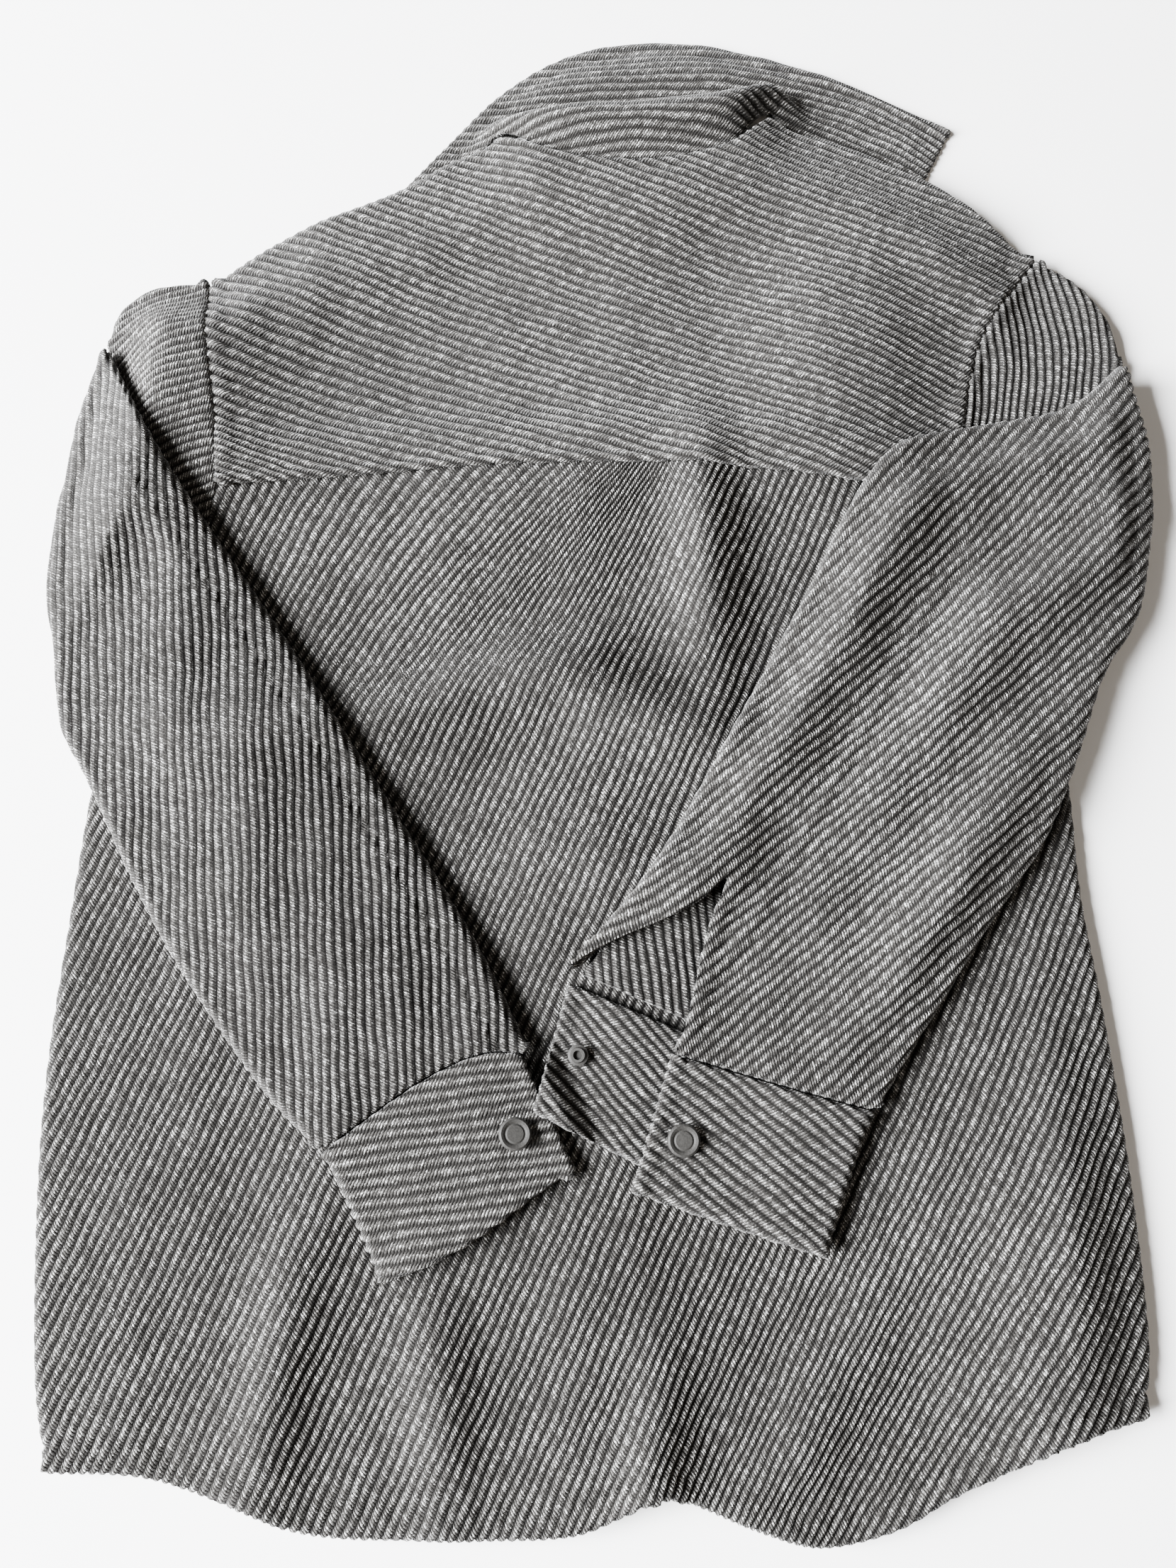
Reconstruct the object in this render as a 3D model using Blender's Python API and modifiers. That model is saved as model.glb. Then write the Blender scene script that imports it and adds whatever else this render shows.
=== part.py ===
"""Chunky twill shacket lying face down, back up, both sleeves folded over the back.

X runs to the right, Y towards the collar, Z up from the surface it lies on.
The wearer's left is at -X. Outlines are read along the cloth's visible edges.
"""
import bpy
import bmesh
import numpy as np
from collections import namedtuple
from math import cos, pi, sin
from mathutils import Matrix, Vector

# Driving dimensions in metres
WALL = 0.003
SEAM_GAP = 0.0003
EDGE_RADIUS = 0.0033
LAYER_CLEARANCE = 0.0012
YOKE_LAP = 0.013
YOKE_LIFT = 0.0040
COLLAR_CLEARANCE = 0.0005
ARMHOLE_GAP = 0.0009
FRONT_INSET = EDGE_RADIUS + 0.0012
UNDERARM_GAP = 0.0010
YOKE_END_GAP = 0.0014
CUFF_GAP = 0.0009
UNDERARM_SHARE = 0.88
CUFF_PINCH = 0.0030
LEFT_CUFF_RISE = 0.0086
LEFT_CUFF_EDGE = ((-0.030, -0.179), (-0.003, -0.235))
EDGE_FADE = 0.050
FRONT_LAP = 0.018
FRONT_LAP_RISE = 0.017
HEM_INSET = 0.010
SHOULDER_SHARE = 0.62
SHOULDER_SLANT = 1.35
LAP_STOPS = [0.058, 0.049, 0.040, 0.020, 0.0]
CUFF_RIGHT_HEIGHTS = (0.066, 0.074)
CUFF_LEFT_HEIGHTS = (0.063, 0.069)
CUFF_LEFT_BULGE = 0.013
CAP_RADIUS = 0.0082
CAP_HEIGHT = 0.0030
STUD_RADIUS = 0.0052
STUD_HEIGHT = 0.0024
CAP_SEAT = 0.0005
STUD_SEAT = 0.0014
FRONT_SNAP_RADIUS = 0.0082
FRONT_SNAP_HEIGHT = 0.0019
FRONT_SNAP_COUNT = 6
FLAT_TOP = WALL + 2 * EDGE_RADIUS

# Where the blends between forms begin and how far they run, in metres
COLLAR_BED = (-0.180, 0.252)
COLLAR_BED_FADES = (0.030, 0.025)
COLLAR_BED_REACH = 0.040
YOKE_LIFT_HOLD = 0.006
YOKE_LIFT_FADE = 0.022
YOKE_STEP_START = 0.014
YOKE_STEP_FADE = 0.010
CUFF_RISE_START = 0.016
CUFF_RISE_FADE = 0.014
COLLAR_ARCH = (-0.060, 0.112)
COLLAR_ARCH_FADE = 0.022
LAP_RISE_START = 0.003

# The same for blends given as shares of a panel's width or length
TURN_END = 0.013
TURN_FADE = 0.030
NECK_BLEND_START = 0.015
NECK_BLEND = 0.020
YOKE_EDGE_START = 0.72
YOKE_END_LEAN = 0.3
HEM_INSET_FADE = 0.2
SLEEVE_EDGE_FADE = 0.16
SLEEVE_START_FADE = 0.06
UNDERARM_BLEND = (0.45, 0.25)
ARMHOLE_PULL = (0.9, 0.4)
CUFF_RIDGE_LOSS = 0.7
CUFF_PINCH_ACROSS = 0.4
CUFF_PINCH_ALONG = 0.3
COLLAR_CREST_AT = 0.28
COLLAR_FALL = (0.30, 0.42)
CUFF_LEFT_START = 0.03
FIRST_SNAP = 0.07
LAST_SNAP = 0.93

# Outline of the body, wearer's left side first
SIDE_LEFT = [(-0.2605, -0.375), (-0.2695, -0.330), (-0.2755, -0.246), (-0.2755, -0.180),
             (-0.2700, -0.105), (-0.2645, -0.042), (-0.256, 0.015), (-0.243, 0.068)]
SIDE_RIGHT = [(0.2700, -0.351), (0.2745, -0.312), (0.2715, -0.231), (0.2645, -0.153),
              (0.2580, -0.096), (0.2560, -0.035), (0.2475, 0.025), (0.236, 0.066)]
HEM = [(-0.2605, -0.375), (-0.213, -0.377), (-0.168, -0.390), (-0.131, -0.402), (-0.077, -0.404),
       (-0.010, -0.402), (0.024, -0.389), (0.045, -0.387), (0.078, -0.399), (0.110, -0.407),
       (0.145, -0.400), (0.179, -0.383), (0.233, -0.361), (0.270, -0.351)]
YOKE_SEAM = [(-0.202, 0.124), (-0.128, 0.132), (-0.051, 0.138), (0.028, 0.139), (0.105, 0.134),
             (0.150, 0.128), (0.203, 0.121)]
ARMHOLE_LEFT_LOW = [(-0.243, 0.068), (-0.212, 0.090), (-0.202, 0.124)]
ARMHOLE_LEFT_HIGH = [(-0.202, 0.124), (-0.205, 0.165), (-0.213, 0.215), (-0.219, 0.257)]
ARMHOLE_RIGHT_LOW = [(0.236, 0.066), (0.212, 0.090), (0.203, 0.121)]
ARMHOLE_RIGHT_HIGH = [(0.203, 0.121), (0.210, 0.165), (0.225, 0.222), (0.259, 0.271)]
SHOULDER_LEFT = [(-0.219, 0.257), (-0.176, 0.288), (-0.115, 0.315), (-0.079, 0.337), (-0.049, 0.349)]
SHOULDER_RIGHT = [(0.107, 0.361), (0.162, 0.342), (0.216, 0.312), (0.259, 0.271)]
NECK_SEAM = [(-0.049, 0.349), (-0.028, 0.338), (-0.004, 0.332), (0.029, 0.329), (0.060, 0.333),
             (0.085, 0.342), (0.107, 0.361)]
FRONT_NECK = [(-0.049, 0.336), (-0.020, 0.290), (0.028, 0.268), (0.076, 0.292), (0.107, 0.343)]
CENTRE_FRONT = [(0.004, -0.398), (0.014, -0.060), (0.028, 0.268)]

# Collar: hidden edge under the shoulders, then the outer edge, left to right
COLLAR_INNER = [(-0.120, 0.292), (-0.085, 0.316), (-0.056, 0.352), (-0.028, 0.3400), (-0.004, 0.3335),
                (0.029, 0.3303), (0.060, 0.3345), (0.085, 0.3437), (0.111, 0.366), (0.140, 0.334),
                (0.190, 0.310)]
COLLAR_OUTER = [(-0.127, 0.298), (-0.110, 0.322), (-0.075, 0.364), (-0.052, 0.389), (-0.024, 0.409),
                (0.005, 0.420), (0.045, 0.425), (0.100, 0.416), (0.156, 0.396), (0.192, 0.377),
                (0.218, 0.364)]
COLLAR_CREST_HEIGHT = 0.034
COLLAR_SEAM_HEIGHT = 0.0235

# Height of the upper layer: ridges and swells, each longest along its direction in degrees
Fold = namedtuple("Fold", "name x y length width height direction")
FOLDS = [
    Fold("swell under the yoke", -0.060, 0.100, 0.170, 0.055, 0.0090, 4),
    Fold("right half of the yoke", 0.090, 0.215, 0.110, 0.070, 0.0060, 20),
    Fold("neck rise", 0.029, 0.345, 0.095, 0.050, 0.0130, 0),
    Fold("ridge on the right shoulder", 0.215, 0.262, 0.040, 0.014, 0.0035, -35),
    Fold("ridge down from the yoke", 0.060, 0.080, 0.075, 0.017, 0.0055, 93),
    Fold("ridge across the waist", 0.020, -0.026, 0.060, 0.018, 0.0060, 8),
    Fold("front placket below", 0.014, -0.060, 0.900, 0.046, 0.0037, 88),
    Fold("soft drape by the left hem", -0.128, -0.320, 0.090, 0.020, 0.0040, 80),
    Fold("soft drape left of the middle", -0.050, -0.310, 0.080, 0.022, 0.0040, 97),
    Fold("fold that lifts the hem", 0.030, -0.385, 0.055, 0.016, 0.0080, 82),
    Fold("swell at the right of the hem", 0.215, -0.325, 0.080, 0.045, 0.0075, 15),
    Fold("swell beside the left sleeve", -0.150, -0.120, 0.150, 0.040, 0.0030, -62),
]

# Folded sleeves: outlines before the fold, along it and after it
Sleeve = namedtuple("Sleeve", "name armhole upper_in lower_in crease upper_out lower_out end fold_out")
SLEEVE_LEFT = Sleeve(
    "sleeve_left",
    armhole=ARMHOLE_LEFT_HIGH[::-1] + ARMHOLE_LEFT_LOW[-2::-1],
    upper_in=[(-0.219, 0.257), (-0.250, 0.254), (-0.269, 0.238), (-0.2735, 0.213)],
    lower_in=[(-0.243, 0.068), (-0.264, 0.045), (-0.2835, 0.020)],
    crease=[(-0.2735, 0.213), (-0.279, 0.147), (-0.2855, 0.080), (-0.2835, 0.020)],
    upper_out=[(-0.2735, 0.213), (-0.260, 0.188), (-0.221, 0.122), (-0.159, 0.032), (-0.105, -0.051),
               (-0.060, -0.121), (-0.030, -0.179)],
    lower_out=[(-0.2835, 0.020), (-0.2775, -0.010), (-0.262, -0.037), (-0.232, -0.094), (-0.205, -0.138),
               (-0.160, -0.197), (-0.131, -0.225)],
    end=[(-0.030, -0.179), (-0.052, -0.178), (-0.084, -0.192), (-0.131, -0.225)],
    fold_out=(-1.0, 0.0))
SLEEVE_RIGHT = Sleeve(
    "sleeve_right",
    armhole=ARMHOLE_RIGHT_HIGH[::-1] + ARMHOLE_RIGHT_LOW[-2::-1],
    upper_in=[(0.259, 0.271), (0.276, 0.262), (0.290, 0.248), (0.300, 0.228), (0.303, 0.202)],
    lower_in=[(0.236, 0.066), (0.253, 0.043), (0.272, 0.015)],
    crease=[(0.303, 0.202), (0.303, 0.130), (0.292, 0.064), (0.272, 0.015)],
    upper_out=[(0.303, 0.202), (0.268, 0.174), (0.216, 0.161), (0.172, 0.148), (0.148, 0.120),
               (0.120, 0.066), (0.085, 0.002), (0.040, -0.076), (0.007, -0.118), (-0.013, -0.141)],
    lower_out=[(0.272, 0.015), (0.255, -0.030), (0.236, -0.070), (0.205, -0.113), (0.166, -0.170),
               (0.142, -0.206)],
    end=[(-0.013, -0.141), (0.046, -0.166), (0.095, -0.187), (0.142, -0.206)],
    fold_out=(1.0, -0.15))

# Ridges on the folded sleeves: share of the width and of the length after the fold
Ridge = namedtuple("Ridge", "across along width length height")
LEFT_CUFF_STEPS = ((0.027, -0.056), (0.031, -0.063))
RIGHT_CUFF_STEPS = ((-0.017, -0.064), (-0.026, -0.070))
CAP_PLACES = {"left": (0.22, 0.58), "right": (0.51, 0.55)}
STUD_PLACE = (0.110, 0.47)
RIDGES_LEFT = [
    Ridge(0.30, 0.10, 0.30, 0.22, 0.0060),
    Ridge(0.55, 0.45, 0.26, 0.35, 0.0050),
    Ridge(0.40, 0.85, 0.30, 0.20, 0.0040),
]
RIDGES_RIGHT = [
    Ridge(0.22, 0.14, 0.26, 0.16, 0.0080),
    Ridge(0.20, 0.50, 0.16, 0.40, 0.0060),
    Ridge(0.78, 0.62, 0.16, 0.30, 0.0095),
    Ridge(0.70, 0.20, 0.20, 0.20, 0.0050),
]
SLIT_START = 0.82
SLIT_ACROSS = 0.21
SLIT_END_ACROSS = 0.41
SLIT_SLIP = 0.013

# Counts that set how fine the panels are
BODY_COLUMNS = 24
BODY_ROWS = 20
YOKE_ROWS = 8
FRONT_COLUMNS = 6
FRONT_ROWS_HIGH = 8
TURN_STEPS = 4
SLEEVE_COLUMNS = 7
SLEEVE_ROWS_IN = 4
SLEEVE_ROWS_FOLD = 6
SLEEVE_ROWS_OUT = 14
CUFF_ROWS = 5
COLLAR_COLUMNS = 30
COLLAR_ROWS = 9
ROUND_STEPS = 24

for old in list(bpy.data.objects):
    bpy.data.objects.remove(old, do_unlink=True)

collection = bpy.data.collections.new("Shacket")
bpy.context.scene.collection.children.link(collection)


def material(name, colour, roughness, metallic=0.0):
    """Principled material of one colour."""
    made = bpy.data.materials.new(name)
    made.use_nodes = True
    shader = made.node_tree.nodes["Principled BSDF"]
    shader.inputs["Base Color"].default_value = (*colour, 1.0)
    shader.inputs["Roughness"].default_value = roughness
    shader.inputs["Metallic"].default_value = metallic
    return made


TWILL = material("Grey twill", (0.17, 0.17, 0.18), 0.95)
SNAP = material("Matt dark snap", (0.045, 0.045, 0.05), 0.45, 0.4)


def smooth_step(value):
    """Rise from 0 to 1 with no corner at either end."""
    share = np.clip(value, 0.0, 1.0)
    return share * share * (3 - 2 * share)


def curve(points):
    """Smooth line through the points, read by its share of length from 0 to 1."""
    knots = np.array(points, float)
    padded = np.vstack([2 * knots[0] - knots[1], knots, 2 * knots[-1] - knots[-2]])
    line = []
    for a, b, c, d in zip(padded, padded[1:], padded[2:], padded[3:]):
        for t in np.linspace(0, 1, 10, endpoint=False):
            line.append(0.5 * (2 * b + (c - a) * t + (2 * a - 5 * b + 4 * c - d) * t * t
                               + (3 * b - a - 3 * c + d) * t ** 3))
    line.append(knots[-1])
    line = np.array(line)
    share = np.concatenate([[0], np.cumsum(np.linalg.norm(np.diff(line, axis=0), axis=1))])
    share /= share[-1]
    return lambda t: np.array([np.interp(t, share, line[:, 0]), np.interp(t, share, line[:, 1])])


def joined(*parts, ends=None):
    """One line made of several, each taking the share of its length where no ends are given."""
    lengths = [np.linalg.norm(np.diff(np.array(part), axis=0), axis=1).sum() for part in parts]
    if ends is None:
        ends = np.concatenate([[0], np.cumsum(lengths)]) / sum(lengths)
    curves = [curve(part) for part in parts]

    def at(t):
        piece = min(int(np.searchsorted(ends, t, side="right")) - 1, len(parts) - 1)
        return curves[piece]((t - ends[piece]) / (ends[piece + 1] - ends[piece]))
    return at, ends


def patch(left, right, bottom, top):
    """Point between four edge lines, u to the right and v up."""
    def at(u, v):
        sides = (1 - u) * left(v) + u * right(v)
        ends = (1 - v) * bottom(u) + v * top(u)
        corners = ((1 - u) * (1 - v) * bottom(0) + u * (1 - v) * bottom(1)
                   + (1 - u) * v * top(0) + u * v * top(1))
        return sides + ends - corners
    return at


def sampled(points, count=60):
    line = curve(points)
    return [line(t) for t in np.linspace(0, 1, count)]


# Edges that round down to the surface, used to fade the folds
LOW_EDGE = np.array(sampled(SIDE_LEFT) + sampled(SLEEVE_LEFT.lower_in) + sampled(SLEEVE_LEFT.crease[::-1])
                    + sampled(SLEEVE_LEFT.upper_in[::-1]) + sampled(SHOULDER_LEFT))
LOW_EDGE_RIGHT = np.array(sampled(SHOULDER_RIGHT) + sampled(SLEEVE_RIGHT.upper_in)
                          + sampled(SLEEVE_RIGHT.crease) + sampled(SLEEVE_RIGHT.lower_in[::-1])
                          + sampled(SIDE_RIGHT[::-1]))
OUTLINE = np.vstack([LOW_EDGE, sampled(NECK_SEAM), LOW_EDGE_RIGHT, sampled(HEM[::-1])])
FADE_LINE = np.vstack([LOW_EDGE, LOW_EDGE_RIGHT])
SHOULDERS = np.vstack([sampled(SHOULDER_LEFT), sampled(NECK_SEAM), sampled(SHOULDER_RIGHT)])
SEAM_LINE = np.array(sampled(YOKE_SEAM))


def inside_outline(x, y):
    """True where a point lies over the body or a sleeve before its fold."""
    ax, ay = OUTLINE[:, 0], OUTLINE[:, 1]
    bx, by = np.roll(ax, -1), np.roll(ay, -1)
    spans = (ay > y) != (by > y)
    cross = ax[spans] + (y - ay[spans]) / (by[spans] - ay[spans]) * (bx[spans] - ax[spans])
    return np.count_nonzero(cross > x) % 2 == 1


def floor_height(x, y):
    """Rise of the body's lowest layer where the collar lies beneath it."""
    near_line = min(np.hypot(SHOULDERS[:, 0] - x, SHOULDERS[:, 1] - y))
    left = smooth_step((x - COLLAR_BED[0]) / COLLAR_BED_FADES[0])
    right = smooth_step((COLLAR_BED[1] - x) / COLLAR_BED_FADES[1])
    near = 1 - smooth_step((near_line - COLLAR_BED_REACH) / COLLAR_BED_REACH)
    return (WALL + COLLAR_CLEARANCE) * left * right * near


def top_height(x, y):
    """Outer surface of the upper layer of the body."""
    height = FLAT_TOP + floor_height(x, y)
    if not inside_outline(x, y):
        return height
    fade = smooth_step(min(np.hypot(FADE_LINE[:, 0] - x, FADE_LINE[:, 1] - y)) / EDGE_FADE)
    for fold in FOLDS:
        angle = fold.direction * pi / 180
        along = (x - fold.x) * cos(angle) + (y - fold.y) * sin(angle)
        across = (y - fold.y) * cos(angle) - (x - fold.x) * sin(angle)
        height += fade * fold.height * np.exp(-(along / fold.length) ** 2 - (across / fold.width) ** 2)
    return height


def yoke_lift(x, y):
    """Extra height of the yoke where the back panel runs under it."""
    above = y - np.interp(x, SEAM_LINE[:, 0], SEAM_LINE[:, 1])
    return YOKE_LIFT * (1 - smooth_step((above - YOKE_LAP - YOKE_LIFT_HOLD) / YOKE_LIFT_FADE))


def ground_height(x, y):
    """Surface that a folded sleeve lies on: the body with the step at the yoke's edge."""
    above = y - np.interp(x, SEAM_LINE[:, 0], SEAM_LINE[:, 1])
    return top_height(x, y) + yoke_lift(x, y) * smooth_step((above + YOKE_STEP_START) / YOKE_STEP_FADE)


def left_cuff_rise(x, y):
    """Rise of the right cuff's corner where it lies on the left cuff."""
    (ax, ay), (bx, by) = LEFT_CUFF_EDGE
    inward = ((bx - ax) * (ay - y) - (ax - x) * (by - ay)) / np.hypot(bx - ax, by - ay)
    return LEFT_CUFF_RISE * smooth_step((inward + CUFF_RISE_START) / CUFF_RISE_FADE)


def finish_object(name, mesh, look):
    made = bpy.data.objects.new(name, mesh)
    mesh.materials.append(look)
    collection.objects.link(made)
    return made


def cloth(name, rows, closed_rows=0):
    """Panel lofted through rows of points, then given its thickness.

    The first closed_rows rows are rings, whose last point is their first.
    """
    shell = bmesh.new()
    grid = []
    for index, row in enumerate(rows):
        verts = [shell.verts.new(point) for point in (row[:-1] if index < closed_rows else row)]
        if index < closed_rows:
            verts.append(verts[0])
        grid.append(verts)
    for low, high in zip(grid, grid[1:]):
        for k in range(len(low) - 1):
            corners = [low[k], low[k + 1], high[k + 1], high[k]]
            shell.faces.new(list(dict.fromkeys(corners)))
    mesh = bpy.data.meshes.new(name)
    shell.to_mesh(mesh)
    shell.free()
    mesh.shade_smooth()
    made = finish_object(name, mesh, TWILL)
    wall = made.modifiers.new("Thickness", "SOLIDIFY")
    wall.thickness = WALL
    wall.offset = 0.0
    wall.use_quality_normals = True
    return made


def turn_down(edge, outward, top, turn):
    """Points of the strip that rounds down at an edge, from its inner line outwards.

    At turn 1 it is a half circle to the underside, at turn 0 it lies straight.
    """
    strip = []
    length = pi * EDGE_RADIUS
    bend = max(turn, 0.001) * pi / length
    reach = 1 / bend if turn > 0.5 else sin(bend * length) / bend
    inner = edge - outward * reach
    for s in np.linspace(0, length, TURN_STEPS + 1):
        spot = inner + outward * (sin(bend * s) / bend)
        strip.append((spot[0], spot[1], max(top - (1 - cos(bend * s)) / bend, top - 2 * EDGE_RADIUS)))
    return strip, inner


def outward_of(line, t, sign):
    """Unit vector square to a line, to its left for sign 1."""
    step = line(min(t + 0.01, 1.0)) - line(max(t - 0.01, 0.0))
    normal = np.array([-step[1], step[0]]) * sign
    return normal / np.linalg.norm(normal)


SIDE_ENDS = np.array([0.0, UNDERARM_SHARE, 1.0])


def back_panel():
    """Lower back: side edges round down to the side seams, top edge runs under the yoke."""
    left = joined(SIDE_LEFT, ARMHOLE_LEFT_LOW, ends=SIDE_ENDS)[0]
    right = joined(SIDE_RIGHT, ARMHOLE_RIGHT_LOW, ends=SIDE_ENDS)[0]
    lap = curve([(x, y + YOKE_LAP) for x, y in YOKE_SEAM])
    hem = curve(HEM)
    rows = []
    for v in side_stops():
        edges = []
        for line, sign in ((left, 1), (right, -1)):
            turn = smooth_step((UNDERARM_SHARE - TURN_END - v) / TURN_FADE)
            reach_gap = 0.0 if v < UNDERARM_SHARE else SEAM_GAP
            spot = line(v) - outward_of(line, v, sign) * reach_gap
            height = FLAT_TOP - WALL / 2
            if turn < 1:
                height = top_height(*spot) - WALL / 2
            edges.append(turn_down(spot, outward_of(line, v, sign), height, turn))
        (strip_left, inner_left), (strip_right, inner_right) = edges
        row = list(reversed(strip_left[1:]))
        for u in np.linspace(0, 1, BODY_COLUMNS + 1):
            straight = (1 - u) * inner_left + u * inner_right
            bottom = hem(u) - ((1 - u) * hem(0) + u * hem(1))
            top = lap(u) - ((1 - u) * lap(0) + u * lap(1))
            spot = straight + (1 - v) ** 2 * bottom + v * top
            spot = spot + v * v * np.array([0.0, YOKE_LAP])
            row.append((spot[0], spot[1], top_height(*spot) - WALL / 2))
        row += strip_right[1:]
        rows.append(row)
    return cloth("back", rows)


def side_stops():
    """Row places up the side and the lower armhole, closer together near the underarm."""
    low = np.linspace(0, UNDERARM_SHARE - 0.05, BODY_ROWS - 6)
    high = np.linspace(UNDERARM_SHARE - 0.03, 1.0, 7)
    return np.concatenate([low, high])


def yoke_panel():
    """Yoke: shoulders round down to the front, lower edge laps on the back panel."""
    upper, ends = joined(SHOULDER_LEFT, NECK_SEAM, SHOULDER_RIGHT)
    seam = curve(YOKE_SEAM)
    left = curve(ARMHOLE_LEFT_HIGH)
    right = curve(ARMHOLE_RIGHT_HIGH)
    columns = []
    for u in yoke_stops(ends):
        neck = smooth_step((u - ends[1] + NECK_BLEND_START) / NECK_BLEND)
        neck *= smooth_step((ends[2] + NECK_BLEND_START - u) / NECK_BLEND)
        edge = upper(u)
        outward = np.array([0.0, 1.0]) if neck >= 0.5 else outward_of(upper, u, 1)
        height = (1 - neck) * (FLAT_TOP + floor_height(*edge)) + neck * COLLAR_SEAM_HEIGHT - WALL / 2
        strip, inner = turn_down(edge, outward, height, 1 - neck)
        end_shift = np.array([YOKE_END_GAP, 0.0]) * (1 - 2 * u) * float(u in (0.0, 1.0))
        column = []
        for v in np.linspace(0, 1, YOKE_ROWS + 1):
            sides = (1 - u) * (left(v) - left(0)) + u * (right(v) - right(0))
            full = (1 - u) * (left(1) - left(0)) + u * (right(1) - right(0))
            spot = seam(u) + sides + v * (inner - seam(u) - full)
            spot = spot + end_shift * (YOKE_END_LEAN + (1 - YOKE_END_LEAN) * v)
            lap = yoke_lift(*spot)
            near_edge = smooth_step((v - YOKE_EDGE_START) / (1 - YOKE_EDGE_START))
            rest = (1 - near_edge) * (top_height(*spot) - WALL / 2) + near_edge * height
            column.append((spot[0], spot[1], rest + lap))
        column += [(x + end_shift[0], y, z) for x, y, z in strip[1:]]
        columns.append(column)
    return cloth("back_yoke", columns)


def yoke_stops(ends):
    """Column places across the yoke, with one at each end of the neck seam."""
    left = np.linspace(0, ends[1] - 0.012, 10)
    neck = np.linspace(ends[1] + 0.006, ends[2] - 0.006, 11)
    right = np.linspace(ends[2] + 0.012, 1, 10)
    return np.concatenate([left, neck, right])


def front_panel(name, side):
    """Front at side -1 or 1: flat, its inner edge at the lap on the other front."""
    side_points = (SIDE_LEFT, ARMHOLE_LEFT_LOW) if side < 0 else (SIDE_RIGHT, ARMHOLE_RIGHT_LOW)
    low = joined(*side_points, ends=SIDE_ENDS)[0]
    high = curve(ARMHOLE_LEFT_HIGH if side < 0 else ARMHOLE_RIGHT_HIGH)
    shoulder = curve(SHOULDER_LEFT if side < 0 else SHOULDER_RIGHT[::-1])
    centre = curve(CENTRE_FRONT)
    neck = curve(FRONT_NECK if side < 0 else FRONT_NECK[::-1])
    armhole_down = (high(1) - high(0.8)) / np.linalg.norm(high(1) - high(0.8))
    outer_edge = []
    for v in side_stops():
        inset = FRONT_INSET if v < UNDERARM_SHARE - 0.02 else ARMHOLE_GAP
        outer_edge.append(low(v) - outward_of(low, v, -side) * inset)
    for v in np.linspace(0, 1, FRONT_ROWS_HIGH + 1)[1:]:
        outer_edge.append(high(v) - outward_of(high, v, -side) * ARMHOLE_GAP)
    rows = []
    for index, outer in enumerate(outer_edge):
        v = index / (len(outer_edge) - 1)
        inner = centre(v) + np.array([-side * FRONT_LAP, 0.0])
        row = []
        lap = 1 - np.array(LAP_STOPS) / np.linalg.norm(inner - outer)
        for u in np.concatenate([np.linspace(0, lap[0], FRONT_COLUMNS + 1)[:-1], lap]):
            upper = shoulder(min(u / SHOULDER_SHARE, 1.0))
            if u > SHOULDER_SHARE:
                upper = neck((u - SHOULDER_SHARE) / (1 - SHOULDER_SHARE) / 2)
            top_row = upper - (1 - u) * outer_edge[-1] - u * (centre(1) - np.array([side * FRONT_LAP, 0.0]))
            top_row = top_row - armhole_down * FRONT_INSET * SHOULDER_SLANT
            spot = (1 - u) * outer + u * inner + v ** 6 * top_row
            spot = spot + np.array([0.0, HEM_INSET]) * (1 - v) ** 4 * smooth_step(u / HEM_INSET_FADE)
            row.append(front_point(spot, side, centre, v))
        rows.append(row)
    return cloth(name, rows)


def front_point(spot, side, centre, v):
    """Height of a front: the left one climbs over the right one at the lap."""
    from_centre = abs(spot[0] - centre(v)[0])
    raised = 1 - smooth_step((from_centre - FRONT_LAP - LAP_RISE_START) / FRONT_LAP_RISE)
    height = WALL / 2 + floor_height(*spot) + raised * (FRONT_SNAP_HEIGHT + SEAM_GAP)
    if side < 0:
        height += raised * (WALL + 2 * SEAM_GAP)
    return (spot[0], spot[1], height)


def ring_places(slit_left, slit_right, width):
    """Places round a flattened tube: share across and share of height, from the slit's edge."""
    turn = EDGE_RADIUS / width
    places = [(w, 1.0) for w in np.linspace(slit_right, 1 - turn, SLEEVE_COLUMNS)]
    for angle in np.linspace(pi / 2, -pi / 2, TURN_STEPS + 1)[1:]:
        places.append((1 - turn + turn * cos(angle), (1 + sin(angle)) / 2))
    places += [(w, 0.0) for w in np.linspace(1 - turn, turn, SLEEVE_COLUMNS + 2)[1:]]
    for angle in np.linspace(-pi / 2, pi / 2, TURN_STEPS + 1)[1:]:
        places.append((turn - turn * cos(angle), (1 + sin(angle)) / 2))
    places += [(w, 1.0) for w in np.linspace(turn, max(slit_left, turn + 0.004), 4)[1:]]
    return places


def sleeve_height(x, y, across, along, layer, ridges):
    """Height of a folded sleeve over the body, layer 0 below and 1 above."""
    rise = 0.0
    edge = smooth_step(across / SLEEVE_EDGE_FADE) * smooth_step((1 - across) / SLEEVE_EDGE_FADE)
    start = smooth_step(along / SLEEVE_START_FADE)
    for ridge in ridges:
        rise += ridge.height * np.exp(-((across - ridge.across) / ridge.width) ** 2
                                      - ((along - ridge.along) / ridge.length) ** 2)
    lower = ground_height(x, y) + LAYER_CLEARANCE + WALL / 2 + rise * edge * start
    return lower + 2 * EDGE_RADIUS * layer


def sleeve_shape(sleeve):
    """Patches of a sleeve before and after its fold, from its outlines."""
    before = patch(curve(sleeve.upper_in), curve(sleeve.lower_in), curve(sleeve.armhole),
                   curve(sleeve.crease))
    after = patch(curve(sleeve.upper_out), curve(sleeve.lower_out), curve(sleeve.crease), curve(sleeve.end))
    return lambda along, across: before(across, along), lambda along, across: after(across, along)


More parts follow.
